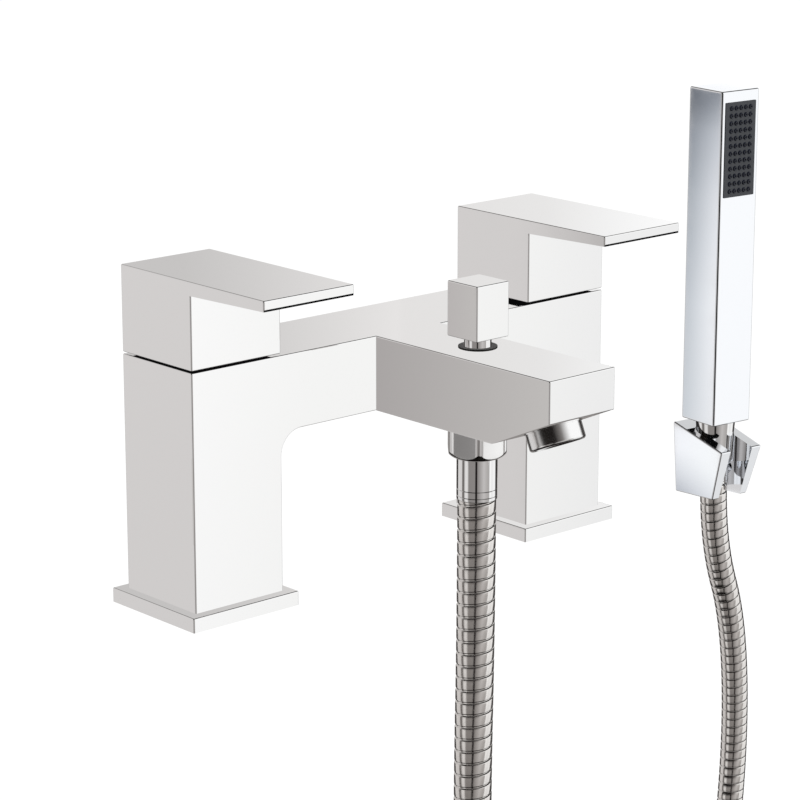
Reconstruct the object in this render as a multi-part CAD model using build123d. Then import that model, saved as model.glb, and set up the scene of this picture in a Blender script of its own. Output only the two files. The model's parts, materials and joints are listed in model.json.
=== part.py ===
"""Deck bath shower mixer with two lever valves, a diverter spout, a hose, a handset and its wall bracket.

Frame: the origin lies on the deck, midway between the two inlets. +X runs towards the right valve,
-Y towards the user and the spout, and +Z up. All lengths are millimetres.
"""
import os
from math import pi

from build123d import *

os.makedirs("parts", exist_ok=True)

# Body: two square legs, the bridge between them and the square spout
inlet_centres = 180.0
leg_side = 44.4
leg_top = 103.4
bridge_height = 31.2
bridge_corner_radius = 10.2
spout_width = 35.6
spout_reach = 100.5
spout_flat_run = 68.6
spout_tip_height = 17.0
edge_radius = 0.5
cast_wall = 4.0
waterway_radius = 6.0
overrun = 1.0

# Running and seating clearances
slide_gap = 0.08
seat_gap = 0.05
face_gap = 0.3

# Base plates, deck seals and inlet sockets
plate_side = 53.4
plate_height = 6.0
plate_hole_radius = 17.5
seal_outer_radius = 23.0
seal_inner_radius = 19.5
seal_depth = 2.0
socket_radius = 16.0
socket_lip_radius = 17.2
socket_lip_height = 3.0
socket_length = 24.0
socket_bore_radius = 12.1
socket_thread_depth = 18.0
socket_water_radius = 8.0
filter_radius = 11.4
filter_height = 1.6
filter_seat_gap = 0.5
filter_hole_radius = 1.3
filter_ring_radius = 5.6
filter_hole_count = 8

# Quarter-turn valves
valve_bore_radius = 10.5
valve_bore_depth = 32.0
valve_body_inner_radius = 8.2
valve_neck_length = 6.0
valve_hex_across_flats = 24.0
valve_hex_height = 6.0
valve_seal_height = 2.5
valve_seal_inner_radius = 5.0
disc_radius = 7.9
disc_height = 2.6
disc_port_radius = 4.9
disc_port_inner_radius = 1.6
spindle_radius = 4.0
spindle_flange_radius = 7.6
spindle_flange_height = 4.0
spindle_above_leg = 24.0
valve_port_radius = 3.2

# Lever handles
lever_gap = 0.8
lever_block_height = 35.4
lever_overhang = 44.6
lever_root_thickness = 5.6
lever_tip_thickness = 4.3
lever_wall = 3.4
lever_cavity_depth = 25.0
lever_hub_radius = 7.5
lever_hub_bottom = 12.0
lever_hub_bore_radius = 4.05
lever_hub_bore_end = 25.5
grub_radius = 2.5
grub_length = 5.0
grub_height = 18.0
plug_radius = 3.6
plug_length = 2.6

# Diverter: knob, stem, valve and spring in a chamber in the spout
diverter_from_bridge = 41.3
knob_side = 17.4
knob_height = 22.6
knob_above_spout = 4.6
knob_socket_depth = 9.0
stem_radius = 5.5
bush_lip_radius = 7.9
bush_lip_height = 0.7
bush_radius = 7.2
bush_length = 8.0
bush_ring_width = 1.3
bush_ring_height = 1.6
bush_ring_from_top = 3.0
chamber_radius = 8.8
outlet_thread_radius = 10.3
outlet_thread_depth = 7.8
diverter_valve_radius = 7.7
diverter_valve_height = 3.0
diverter_spigot_radius = 3.0
diverter_washer_height = 1.2
spring_wire_radius = 0.45
spring_mean_radius = 6.7
spring_turns = 4.0

# Hose outlet under the spout
nipple_radius = 9.6
nipple_bore_radius = 6.2
check_valve_height = 8.0
check_valve_ring = 1.2
check_valve_disc_radius = 3.6
check_valve_bar = 1.4
washer_height = 2.0
washer_inner_radius = 5.8
nut_across_corners = 26.6
nut_height = 13.4
nut_drop = 0.2
nut_floor = 2.2
nut_turn_degrees = -9.0
nut_crown_height = 5.6
nut_foot_radius = 9.0
ferrule_radius = 8.3
ferrule_length = 18.0
ferrule_collar_radius = 9.3
ferrule_collar_height = 2.0
ferrule_neck_radius = 7.2

# Shower hose
hose_radius = 7.9
hose_groove_radius = 7.0
hose_bore_radius = 5.6
hose_rib_count = 196
hose_rib_share = 0.62
hose_groove_share = 0.16
hose_arc_share = 0.45
liner_radius = 5.2
liner_bore_radius = 4.2
hose_steady_axis = (0.535, -0.845, 0.0)

# Spray handset, standing in the wall bracket
handset_x = 467.0
handset_y = 231.0
handset_turn_degrees = -5.9
handset_side = 28.0
handset_bottom = -68.5
handset_length = 195.0
handset_wall = 2.4
handset_corner_radius = 1.0
spray_width = 22.6
spray_height = 54.4
spray_below_top = 6.5
spray_proud = 0.4
spray_thickness = 2.6
spray_corner_radius = 0.5
nozzle_columns = 5
nozzle_rows = 12
nozzle_pitch_x = 3.57
nozzle_pitch_z = 4.32
nozzle_radius = 1.45
nozzle_tip_radius = 1.1
nozzle_height = 0.9
tray_depth = 8.0
tray_wall = 1.5
tray_inlet_radius = 4.0
handset_inlet_radius = 9.8
handset_inlet_bore_radius = 5.4
handset_inlet_below = 10.0
handset_inlet_inside = 14.0
flow_washer_height = 2.4
flow_washer_hole_radius = 1.1
flow_washer_hole_circle = 3.0
flow_washer_hole_count = 6
cone_top_radius = 11.6
cone_bottom_radius = 9.4
cone_length = 26.0
handset_ferrule_length = 12.0

# Wall bracket
bracket_top_width = 32.4
bracket_bottom_width = 26.2
bracket_wall_offset = 18.8
bracket_below_handset = 3.1
bracket_back_height = 43.0
bracket_front_top_offset = 23.2
bracket_front_top_drop = 13.4
bracket_front_bottom_offset = 13.8
bracket_front_bottom_drop = 44.0
bracket_slot_width = 16.6
bracket_seat_gap = 0.3
bracket_edge_radius = 0.8
bracket_screw_radius = 2.25
bracket_screw_spacing = 20.0
bracket_screw_head_radius = 4.2
bracket_screw_head_depth = 2.0

# Aerator in the sloping underside of the spout tip
aerator_radius = 11.4
aerator_proud = 7.6
aerator_wall = 1.3
aerator_seat_depth = 6.2
aerator_seal_height = 1.5
aerator_insert_height = 6.0
aerator_cell_radius = 0.8
aerator_cell_pitch = 2.5
aerator_rings = 3
aerator_tip_chamfer = 0.8

# Places worked out from the sizes above
half_centres = inlet_centres / 2
half_leg = leg_side / 2
half_spout = spout_width / 2
bridge_bottom = leg_top - bridge_height
bridge_middle = leg_top - bridge_height / 2
spout_end = -half_leg - spout_reach
spout_knee = -half_leg - spout_flat_run
spout_tip_bottom = leg_top - spout_tip_height
diverter_y = -half_leg - diverter_from_bridge
at_diverter = (0.0, diverter_y)
at_handset = (handset_x, handset_y)
bush_bottom = leg_top - bush_length
nipple_top = bridge_bottom + outlet_thread_depth
valve_seat_z = leg_top - valve_bore_depth
disc_bottom = valve_seat_z + valve_seal_height
lever_bottom = leg_top + lever_gap
lever_top = lever_bottom + lever_block_height
knob_bottom = leg_top + knob_above_spout
nut_top = bridge_bottom - nut_drop
nut_bottom = nut_top - nut_height
collar_bottom = nut_bottom + nut_floor
collar_top = collar_bottom + ferrule_collar_height
nipple_bottom = collar_top + washer_height
hose_start_z = nut_bottom - ferrule_length
handset_top = handset_bottom + handset_length
cone_bottom = handset_bottom - cone_length
hose_end_z = cone_bottom - handset_ferrule_length

# The hose's route from the mixer to the handset, points chosen by hand
hose_points = [
    (0.0, diverter_y, hose_start_z),
    (0.0, diverter_y, -14.0),
    (-2.0, -64.0, -90.0),
    (1.0, -62.0, -200.0),
    (8.0, -58.0, -320.0),
    (34.0, -41.0, -432.0),
    (88.0, -8.0, -528.0),
    (170.0, 44.0, -596.0),
    (266.0, 106.0, -622.0),
    (356.0, 160.0, -592.0),
    (428.0, 203.0, -512.0),
    (472.0, 226.0, -404.0),
    (493.0, 231.0, -296.0),
    (487.0, 229.0, -200.0),
    (handset_x, handset_y, -142.0),
    (handset_x, handset_y, hose_end_z),
]


def block(x0, x1, y0, y1, z0, z1):
    """A box between two corners."""
    size = Box(x1 - x0, y1 - y0, z1 - z0)
    return Pos((x0 + x1) / 2, (y0 + y1) / 2, (z0 + z1) / 2) * size


def rod(radius, z0, z1, x=0.0, y=0.0):
    """An upright cylinder from z0 to z1."""
    return Pos(x, y, (z0 + z1) / 2) * Cylinder(radius, z1 - z0)


def tube(outer, inner, z0, z1, x=0.0, y=0.0):
    """An upright ring with an open bore."""
    return rod(outer, z0, z1, x, y) - rod(inner, z0 - overrun, z1 + overrun, x, y)


def upright_cone(bottom_radius, top_radius, z0, z1, x=0.0, y=0.0):
    """An upright cone frustum from z0 to z1."""
    return Pos(x, y, (z0 + z1) / 2) * Cone(bottom_radius, top_radius, z1 - z0)


def side_prism(points, x0, x1):
    """A prism along X over an outline of (y, z) points."""
    outline = Plane.YZ.offset(x0) * make_face(Polyline(*points, close=True))
    return extrude(outline, amount=x1 - x0)


def hexagon(across_flats, z0, z1, x=0.0, y=0.0, turn=0.0):
    """An upright hexagonal prism, flats facing +Y and -Y before it is turned about its axis."""
    outline = RegularPolygon(across_flats / 2, 6, major_radius=False)
    return Pos(x, y, z0) * Rot(0, 0, turn) * extrude(outline, amount=z1 - z0)


def save(node, shape):
    """Write one sub-part, as one solid or a group of separate solids."""
    solids = shape.solids()
    whole = solids[0] if len(solids) == 1 else Compound(children=list(solids))
    export_step(whole, "parts/" + node + ".step")


def save_turned(node, shape):
    """Write a square piece of the handset or bracket, turned about the handset's axis."""
    there = Pos(handset_x, handset_y, 0) * Rot(0, 0, handset_turn_degrees)
    save(node, there * Pos(-handset_x, -handset_y, 0) * shape)


def outer_edges(shape, low, high):
    """Straight edges whose middles lie on the faces of the box from low to high."""
    near = edge_radius / 10
    found = []
    for edge in shape.edges().filter_by(GeomType.LINE):
        middle = edge @ 0.5
        spot = (middle.X, middle.Y, middle.Z)
        on_faces = 0
        for value, lo, hi in zip(spot, low, high):
            if abs(value - lo) < near or abs(value - hi) < near:
                on_faces += 1
        if on_faces >= 2:
            found.append(edge)
    return found


def make_body():
    """The brass casting: legs, bridge and spout with their chambers, bores and waterways."""
    outer = half_centres + half_leg
    inner = half_centres - half_leg
    frame = block(-outer, outer, -half_leg, half_leg, plate_height, leg_top)
    gap_depth = half_leg + overrun
    gap = block(-inner, inner, -gap_depth, gap_depth, plate_height - overrun, bridge_bottom)
    top_corners = gap.edges().filter_by(Axis.Y).group_by(Axis.Z)[-1]
    frame -= fillet(top_corners, bridge_corner_radius)
    body = frame + spout_block(0, spout_end)
    body = fillet(body_edges(body), edge_radius)
    for side in (-1, 1):
        body -= leg_hollows(side * half_centres)
    body -= bridge_chamber()
    body -= spout_chamber()
    body -= rod(chamber_radius, nipple_top - overrun, bush_bottom, *at_diverter)
    body -= rod(bush_radius + seat_gap, bush_bottom - overrun, leg_top + overrun, *at_diverter)
    body -= rod(outlet_thread_radius + seat_gap, bridge_bottom - overrun, nipple_top, *at_diverter)
    body -= aerator_place() * rod(aerator_radius + seat_gap, -overrun - aerator_proud, aerator_seat_depth)
    body -= aerator_place() * rod(waterway_radius, -overrun, aerator_seat_depth * 2)
    return body


def spout_block(start_y, end_y):
    """The spout's outer form, from inside the bridge to its tip."""
    outline = [
        (start_y, bridge_bottom),
        (spout_knee, bridge_bottom),
        (end_y, spout_tip_bottom),
        (end_y, leg_top),
        (start_y, leg_top),
    ]
    return side_prism(outline, -half_spout, half_spout)


def body_edges(body):
    """The casting's sharp outer edges: the rim of the top, the legs' corners and the spout's tip."""
    corners = body.edges().filter_by(Axis.Z)
    top = body.edges().group_by(Axis.Z)[-1]
    tip = body.edges().group_by(Axis.Y)[0]
    chosen = []
    for edge in list(corners) + list(top) + list(tip):
        middle = edge @ 0.5
        on_spout_side = abs(abs(middle.X) - half_spout) < edge_radius
        inside_corner = on_spout_side and abs(middle.Y + half_leg) < edge_radius
        if not inside_corner and edge not in chosen:
            chosen.append(edge)
    return chosen


def leg_hollows(x):
    """One leg's inlet socket bore, core pockets, water chamber and valve bore."""
    reach = half_leg - cast_wall
    floor = socket_length + seat_gap + cast_wall
    ceiling = valve_seat_z - cast_wall
    pocket = block(x - reach, x + reach, -reach, reach, plate_height - overrun, socket_length)
    hollows = pocket - rod(socket_radius + cast_wall, plate_height - overrun * 2, leg_top, x)
    hollows += block(x - reach, x + reach, -reach, reach, floor, ceiling)
    hollows += rod(socket_radius + seat_gap, plate_height - overrun, socket_length + seat_gap, x)
    hollows += rod(waterway_radius, socket_length, valve_seat_z + overrun, x)
    hollows += rod(valve_bore_radius, valve_seat_z, leg_top + overrun, x)
    return hollows


def bridge_chamber():
    """The mixing chamber in the bridge and the ports that lead to it from the two valves."""
    reach = half_centres - valve_bore_radius - cast_wall
    half_depth = half_leg - cast_wall
    chamber = block(-reach, reach, -half_depth, half_depth, bridge_bottom + cast_wall, leg_top - cast_wall)
    port = Pos(0, 0, bridge_middle) * Rot(0, 90, 0) * Cylinder(valve_port_radius, inlet_centres)
    return chamber + port


def spout_chamber():
    """The spout's water chamber round the diverter's boss, open to the bridge and to the nozzle."""
    half_width = half_spout - cast_wall
    start_y = -half_leg + cast_wall + overrun
    end_y = spout_knee + cast_wall
    chamber = block(-half_width, half_width, end_y, start_y, bridge_bottom + cast_wall, leg_top - cast_wall)
    chamber -= rod(outlet_thread_radius + cast_wall / 2, bridge_bottom, leg_top, *at_diverter)
    way_end = (spout_knee + spout_end) / 2
    way = Pos(0, way_end / 2, bridge_middle) * Rot(90, 0, 0) * Cylinder(waterway_radius, -way_end)
    return chamber + way


def aerator_place():
    """The nozzle's place: origin on the sloping face, local +Z into the spout, square to the slope."""
    middle_y = (spout_knee + spout_end) / 2
    middle_z = (bridge_bottom + spout_tip_bottom) / 2
    slope = Vector(0, spout_end - spout_knee, spout_tip_bottom - bridge_bottom)
    inward = Vector(0, slope.Z, -slope.Y)
    return Location(Plane(origin=(0, middle_y, middle_z), x_dir=(1, 0, 0), z_dir=inward))


def make_base(side, name):
    """A leg's square base plate, deck seal, inlet socket and strainer."""
    x = side * half_centres
    half_plate = plate_side / 2
    plate = block(x - half_plate, x + half_plate, -half_plate, half_plate, 0, plate_height)
    plate = fillet(plate.edges().filter_by(Axis.Z), edge_radius)
    plate = fillet(plate.edges().group_by(Axis.Z)[-1], edge_radius)
    plate -= rod(plate_hole_radius, -overrun, plate_height + overrun, x)
    plate -= tube(seal_outer_radius + seat_gap, seal_inner_radius - seat_gap, -overrun, seal_depth, x)
    save(name + "_base_plate", plate)
    save(name + "_deck_seal", tube(seal_outer_radius, seal_inner_radius, 0, seal_depth, x))
    socket = rod(socket_radius, 0, socket_length, x) + rod(socket_lip_radius, 0, socket_lip_height, x)
    filter_bottom = socket_thread_depth + filter_seat_gap
    filter_top = filter_bottom + filter_height
    socket -= rod(socket_bore_radius, -overrun, socket_thread_depth, x)
    socket -= rod(filter_radius + seat_gap, 0, filter_top, x)
    socket -= rod(socket_water_radius, 0, socket_length + overrun, x)
    save(name + "_inlet_socket", socket)
    strainer = rod(filter_radius, filter_bottom, filter_top, x)
    for spot in PolarLocations(filter_ring_radius, filter_hole_count):
        strainer -= Pos(x, 0, filter_bottom) * spot * Cylinder(filter_hole_radius, filter_height * 3)
    save(name + "_inlet_strainer", strainer)


def disc_ports(z, x):
    """The two sector openings through a ceramic disc."""
    ring = tube(disc_port_radius, disc_port_inner_radius, z - overrun, z + disc_height + overrun, x)
    reach = disc_port_radius + overrun
    keep = block(x - reach, x, -reach, 0, z - overrun, z + disc_height + overrun)
    keep += block(x, x + reach, 0, reach, z - overrun, z + disc_height + overrun)
    return ring & keep


def make_valve(side, name):
    """A quarter-turn ceramic valve: body, seal, two discs and the spindle."""
    x = side * half_centres
    moving_bottom = disc_bottom + disc_height
    spindle_bottom = moving_bottom + disc_height
    body = rod(valve_bore_radius - seat_gap, valve_seat_z, leg_top, x)
    body += hexagon(valve_hex_across_flats, leg_top, leg_top + valve_hex_height, x)
    body -= rod(valve_body_inner_radius, valve_seat_z - overrun, leg_top - valve_neck_length, x)
    body -= rod(spindle_radius + slide_gap, valve_seat_z, leg_top + valve_hex_height + overrun, x)
    port_z = spindle_bottom + spindle_flange_height + valve_port_radius
    body -= Pos(x, 0, port_z) * Rot(0, 90, 0) * Cylinder(valve_port_radius, valve_bore_radius * 3)
    save(name + "_valve_body", body)
    seal_radius = disc_radius - seat_gap
    save(name + "_valve_seal", tube(seal_radius, valve_seal_inner_radius, valve_seat_z, disc_bottom, x))
    fixed = rod(disc_radius, disc_bottom, moving_bottom, x) - disc_ports(disc_bottom, x)
    save(name + "_fixed_disc", fixed)
    moving = rod(disc_radius, moving_bottom, spindle_bottom, x) - disc_ports(moving_bottom, x)
    save(name + "_moving_disc", moving)
    flange_top = spindle_bottom + spindle_flange_height
    spindle = rod(spindle_flange_radius, spindle_bottom, flange_top, x)
    spindle += rod(spindle_radius, spindle_bottom, leg_top + spindle_above_leg, x)
    save(name + "_valve_spindle", spindle)


def make_lever(side, name):
    """A square lever handle, its grub screw and the plug that hides the screw."""
    x = side * half_centres
    tip_y = -half_leg - lever_overhang
    outline = [
        (half_leg, lever_bottom),
        (-half_leg, lever_bottom),
        (-half_leg, lever_top - lever_root_thickness),
        (tip_y, lever_top - lever_tip_thickness),
        (tip_y, lever_top),
        (half_leg, lever_top),
    ]
    lever = side_prism(outline, x - half_leg, x + half_leg)
    lever = fillet(lever.edges().filter_by(Axis.Z), edge_radius)
    low = (x - half_leg, tip_y, lever_bottom)
    high = (x + half_leg, half_leg, lever_top)
    lever = fillet(outer_edges(lever, low, high), edge_radius)
    reach = half_leg - lever_wall
    cavity_top = lever_bottom + lever_cavity_depth
    cavity = block(x - reach, x + reach, -reach, reach, lever_bottom - overrun, cavity_top)
    hub_bottom = leg_top + lever_hub_bottom
    cavity -= rod(lever_hub_radius, hub_bottom, lever_top, x)
    lever -= cavity
    lever -= rod(lever_hub_bore_radius, hub_bottom - overrun, leg_top + lever_hub_bore_end, x)
    screw_z = leg_top + grub_height
    screw_in = spindle_radius
    screw_out = screw_in + grub_length
    lever -= back_rod(grub_radius, screw_in, lever_hub_radius + overrun, x, screw_z)
    lever -= back_rod(plug_radius, half_leg - lever_wall - overrun, half_leg + overrun, x, screw_z)
    save(name + "_lever_handle", lever)
    save(name + "_lever_screw", back_rod(grub_radius - seat_gap, screw_in, screw_out, x, screw_z))
    plug = back_rod(plug_radius - seat_gap, half_leg - plug_length, half_leg, x, screw_z)
    save(name + "_lever_plug", plug)


def back_rod(radius, y0, y1, x, z):
    """A cylinder along Y from y0 to y1."""
    return Pos(x, (y0 + y1) / 2, z) * Rot(90, 0, 0) * Cylinder(radius, y1 - y0)


def make_diverter():
    """The pull-up diverter: knob, stem, valve, washer and spring, and the bush and ring that guide it."""
    half_knob = knob_side / 2
    knob_top = knob_bottom + knob_height
    knob_front = diverter_y - half_knob
    knob_back = diverter_y + half_knob
    knob = block(-half_knob, half_knob, knob_front, knob_back, knob_bottom, knob_top)
    knob = fillet(knob.edges(), edge_radius)
    socket_top = knob_bottom + knob_socket_depth
    knob -= rod(stem_radius + seat_gap, knob_bottom - overrun, socket_top, *at_diverter)
    save("diverter_knob", knob)
    washer_bottom = nipple_top + face_gap
    plate_bottom = washer_bottom + diverter_washer_height
    plate_top = plate_bottom + diverter_valve_height
    stem = rod(stem_radius, plate_top, socket_top, *at_diverter)
    stem += rod(diverter_spigot_radius, washer_bottom, plate_top, *at_diverter)
    save("diverter_stem", stem)
    spigot_hole = diverter_spigot_radius + seat_gap
    valve = tube(diverter_valve_radius, spigot_hole, plate_bottom, plate_top, *at_diverter)
    save("diverter_valve", valve)
    washer = tube(diverter_valve_radius, spigot_hole, washer_bottom, plate_bottom, *at_diverter)
    save("diverter_washer", washer)
    bush = rod(bush_radius, bush_bottom, leg_top, *at_diverter)
    bush += rod(bush_lip_radius, leg_top, leg_top + bush_lip_height, *at_diverter)
    ring_inner = stem_radius + slide_gap
    bush -= rod(ring_inner, bush_bottom - overrun, leg_top + bush_lip_height + overrun, *at_diverter)
    ring_top = leg_top - bush_ring_from_top
    ring_bottom = ring_top - bush_ring_height
    bush -= rod(ring_inner + bush_ring_width, ring_bottom, ring_top, *at_diverter)
    save("diverter_bush", bush)
    ring_outer = ring_inner + bush_ring_width - seat_gap
    ring = tube(ring_outer, ring_inner, ring_bottom + seat_gap, ring_top - seat_gap, *at_diverter)
    save("diverter_seal_ring", ring)
    make_spring(plate_top + face_gap, bush_bottom - face_gap)


def make_spring(low, high):
    """The return spring round the stem, one open wound wire."""
    height = high - low - spring_wire_radius * 2
    path = Helix(pitch=height / spring_turns, height=height, radius=spring_mean_radius)
    section = Plane(origin=path @ 0, z_dir=path % 0) * Circle(spring_wire_radius)
    spring = Pos(0, diverter_y, low + spring_wire_radius) * sweep(section, path=path, is_frenet=True)
    save("diverter_spring", spring)


def make_nut():
    """The hose nut: a hexagon turned round at its lower corners, bored for the nipple and the ferrule."""
    corner = nut_across_corners / 2
    half_flats = corner * 3 ** 0.5 / 2
    nut = hexagon(half_flats * 2, nut_bottom, nut_top, *at_diverter, nut_turn_degrees)
    full = corner + overrun
    crown = (full, nut_bottom + nut_crown_height)
    with BuildSketch(Plane.XZ) as profile:
        with BuildLine():
            Polyline((0, nut_bottom), (nut_foot_radius, nut_bottom))
            TangentArc((nut_foot_radius, nut_bottom), crown, tangent=(1, 0))
            Polyline(crown, (full, nut_top + overrun), (0, nut_top + overrun), (0, nut_bottom))
        make_face()
    nut = nut & Pos(0, diverter_y, 0) * revolve(profile.sketch, Axis.Z)
    nut -= rod(nipple_radius + slide_gap, nut_bottom + nut_floor, nut_top + overrun, *at_diverter)
    nut -= rod(ferrule_neck_radius + seat_gap, nut_bottom - overrun, nut_top, *at_diverter)
    save("hose_nut", nut)


def make_outlet():
    """The hose outlet: threaded nipple, check valve, washer, nut and the hose's upper ferrule."""
    nipple = rod(outlet_thread_radius, bridge_bottom, nipple_top, *at_diverter)
    nipple += rod(nipple_radius, nipple_bottom, nipple_top, *at_diverter)
    nipple -= rod(nipple_bore_radius, nipple_bottom - overrun, nipple_top + overrun, *at_diverter)
    save("hose_outlet_nipple", nipple)
    guard_radius = nipple_bore_radius - seat_gap
    guard_top = nipple_bottom + check_valve_height
    guard = tube(guard_radius, guard_radius - check_valve_ring, nipple_bottom, guard_top, *at_diverter)
    bar_front = diverter_y - check_valve_bar / 2
    bar_top = nipple_bottom + check_valve_bar
    bar = block(-guard_radius, guard_radius, bar_front, bar_front + check_valve_bar, nipple_bottom, bar_top)
    guard += bar & rod(guard_radius, nipple_bottom, guard_top, *at_diverter)
    disc_top = nipple_bottom + check_valve_height / 2
    guard += rod(check_valve_disc_radius, nipple_bottom + check_valve_bar, disc_top, *at_diverter)
    save("check_valve", guard)
    washer = tube(ferrule_collar_radius, washer_inner_radius, collar_top, nipple_bottom, *at_diverter)
    save("outlet_washer", washer)
    make_nut()
    ferrule = rod(ferrule_radius, hose_start_z, nut_bottom, *at_diverter)
    ferrule = fillet(ferrule.edges().group_by(Axis.Z)[0], edge_radius)
    ferrule += rod(ferrule_neck_radius, nut_bottom, collar_top, *at_diverter)
    ferrule += rod(ferrule_collar_radius, collar_bottom, collar_top, *at_diverter)
    ferrule -= rod(washer_inner_radius, hose_start_z - overrun, collar_top + overrun, *at_diverter)
    save("mixer_hose_ferrule", ferrule)


def hose_path():
    """Straight runs joined by tangent arcs, with its radii printed."""
    points = [Vector(*point) for point in hose_points]
    runs = [b - a for a, b in zip(points, points[1:])]
    radii = []
    for first, second in zip(runs, runs[1:]):
        half_turn = first.get_angle(second) / 2
        shorter = min(first.length, second.length)
        radii.append(hose_arc_share * shorter / tan_degrees(half_turn))
    path = FilletPolyline(*points, radius=radii)
    print("hose runs", [round(run.length) for run in runs])
    print("hose radii", [round(radius) for radius in radii])
    print("hose length", round(path.length, 1))
    return path


def tan_degrees(angle):
    """Tangent of an angle in degrees."""
    turned = Vector(1, 0, 0).rotate(Axis.Z, angle)
    return turned.Y / turned.X


def make_hose():
    """The ribbed metal hose and the plain liner inside it."""
    path = hose_path()
    steady = Vector(*hose_steady_axis)
    plain_end = hose_radius * 2
    pitch = (path.length - plain_end * 2) / hose_rib_count
    slope = pitch * hose_groove_share
    crest = pitch * hose_rib_share
    stations = [(0.0, hose_radius)]
    for rib in range(hose_rib_count):
        start = plain_end + pitch * rib
        stations.append((start, hose_groove_radius if rib else hose_radius))
        stations.append((start + slope, hose_radius))
        stations.append((start + slope + crest, hose_radius))
        stations.append((start + slope * 2 + crest, hose_groove_radius))
    stations.append((path.length - plain_end, hose_radius))
    stations.append((path.length, hose_radius))
    circles = []
    for along, radius in stations:
        share = along / path.length
        plane = Plane(origin=path @ share, x_dir=steady, z_dir=path % share)
        circles.append(plane * Circle(radius))
    skin = loft(circles, ruled=True)
    bore = sweep(Plane(origin=path @ 0, x_dir=steady, z_dir=path % 0) * Circle(hose_bore_radius), path=path)
    hose = skin - bore
    section = pi * (hose_radius ** 2 - hose_bore_radius ** 2)
    print("hose volume", round(hose.volume), "plain", round(section * path.length))
    save("shower_hose", hose)
    start = Plane(origin=path @ 0, x_dir=steady, z_dir=path % 0)
    liner = sweep(start * (Circle(liner_radius) - Circle(liner_bore_radius)), path=path)
    section = pi * (liner_radius ** 2 - liner_bore_radius ** 2)
    print("liner volume", round(liner.volume), "plain", round(section * path.length))
    save("hose_liner", liner)


def make_hose_end():
    """The cone nut that sits in the bracket, its washer and the hose's lower ferrule."""
    nut = upright_cone(cone_bottom_radius, cone_top_radius, cone_bottom, handset_bottom, *at_handset)
    thread = handset_inlet_radius + slide_gap
    nut -= rod(thread, handset_bottom - handset_inlet_below, handset_bottom + overrun, *at_handset)
    nut -= rod(ferrule_neck_radius + slide_gap, cone_bottom - overrun, handset_bottom, *at_handset)
    save("cone_nut", nut)
    inlet_bottom = handset_bottom - handset_inlet_below
    washer_bottom = inlet_bottom - washer_height
    washer = tube(ferrule_neck_radius, washer_inner_radius, washer_bottom, inlet_bottom, *at_handset)
    save("handset_washer", washer)
    ferrule = rod(ferrule_radius, hose_end_z, cone_bottom - seat_gap, *at_handset)
    ferrule = fillet(ferrule.edges().group_by(Axis.Z)[0], edge_radius)
    ferrule += rod(ferrule_neck_radius, hose_end_z + edge_radius, washer_bottom, *at_handset)
    ferrule -= rod(washer_inner_radius, hose_end_z - overrun, handset_bottom, *at_handset)
    save("handset_hose_ferrule", ferrule)


def make_handset():
    """The square stick handset: shell, inlet, flow washer, water tray, spray plate and nozzles."""
    half = handset_side / 2
    x, y = handset_x, handset_y
    shell = block(x - half, x + half, y - half, y + half, handset_bottom, handset_top)
    shell = fillet(shell.edges(), handset_corner_radius)
    inner = half - handset_wall
    cavity_bottom = handset_bottom + handset_wall
    cavity_top = handset_top - handset_wall
    shell -= block(x - inner, x + inner, y - inner, y + inner, cavity_bottom, cavity_top)
    spray_top = handset_top - spray_below_top
    spray_bottom = spray_top - spray_height
    half_spray = spray_width / 2
    face_y = y - half
    window_half = half_spray + seat_gap
    window_bottom = spray_bottom - seat_gap
    window_top = spray_top + seat_gap
    window_back = face_y + handset_wall + overrun
    shell -= spray_prism(window_half, window_bottom, window_top, face_y - overrun, window_back)
    inlet_hole = handset_inlet_radius + seat_gap
    shell -= rod(inlet_hole, handset_bottom - overrun, cavity_bottom + overrun, x, y)
    save_turned("handset_shell", shell)
    inlet_bottom = handset_bottom - handset_inlet_below
    inlet_top = handset_bottom + handset_inlet_inside
    inlet = rod(handset_inlet_radius, inlet_bottom, cavity_bottom, x, y)
    inlet += rod(inner - seat_gap, cavity_bottom, inlet_top, x, y)
    inlet -= rod(handset_inlet_bore_radius, inlet_bottom - overrun, inlet_top + overrun, x, y)
    save("handset_inlet", inlet)
    flow_top = inlet_bottom + flow_washer_height
    flow = rod(handset_inlet_bore_radius - seat_gap, inlet_bottom, flow_top, x, y)
    for spot in PolarLocations(flow_washer_hole_circle, flow_washer_hole_count):
        flow -= Pos(x, y, flow_top) * spot * Cylinder(flow_washer_hole_radius, flow_washer_height * 3)
    save("flow_washer", flow)
    plate = spray_prism(half_spray, spray_bottom, spray_top, face_y - spray_proud, face_y + spray_thickness)
    save_turned("spray_plate", plate)
    tray_front = face_y + spray_thickness
    tray_back = tray_front + tray_depth
    tray_half = inner - seat_gap
    tray = block(x - tray_half, x + tray_half, tray_front, tray_back, spray_bottom, spray_top)
    hollow_half = inner - tray_wall
    hollow_back = tray_back - tray_wall
    hollow_front = tray_front - overrun
    hollow_bottom = spray_bottom + tray_wall
    hollow_top = spray_top - tray_wall
    tray -= block(x - hollow_half, x + hollow_half, hollow_front, hollow_back, hollow_bottom, hollow_top)
    tray_bore = tray_inlet_radius - tray_wall
    tray += tube(tray_inlet_radius, tray_bore, inlet_top, hollow_bottom, x, y)
    tray -= rod(tray_bore, inlet_top - overrun, hollow_bottom + overrun, x, y)
    save_turned("handset_water_tray", tray)
    make_nozzles(face_y - spray_proud, (spray_top + spray_bottom) / 2)


def spray_prism(half_width, z0, z1, y0, y1):
    """A block with rounded corners that lies in the handset's front face."""
    shape = block(handset_x - half_width, handset_x + half_width, y0, y1, z0, z1)
    return fillet(shape.edges().filter_by(Axis.Y), spray_corner_radius)


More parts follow.
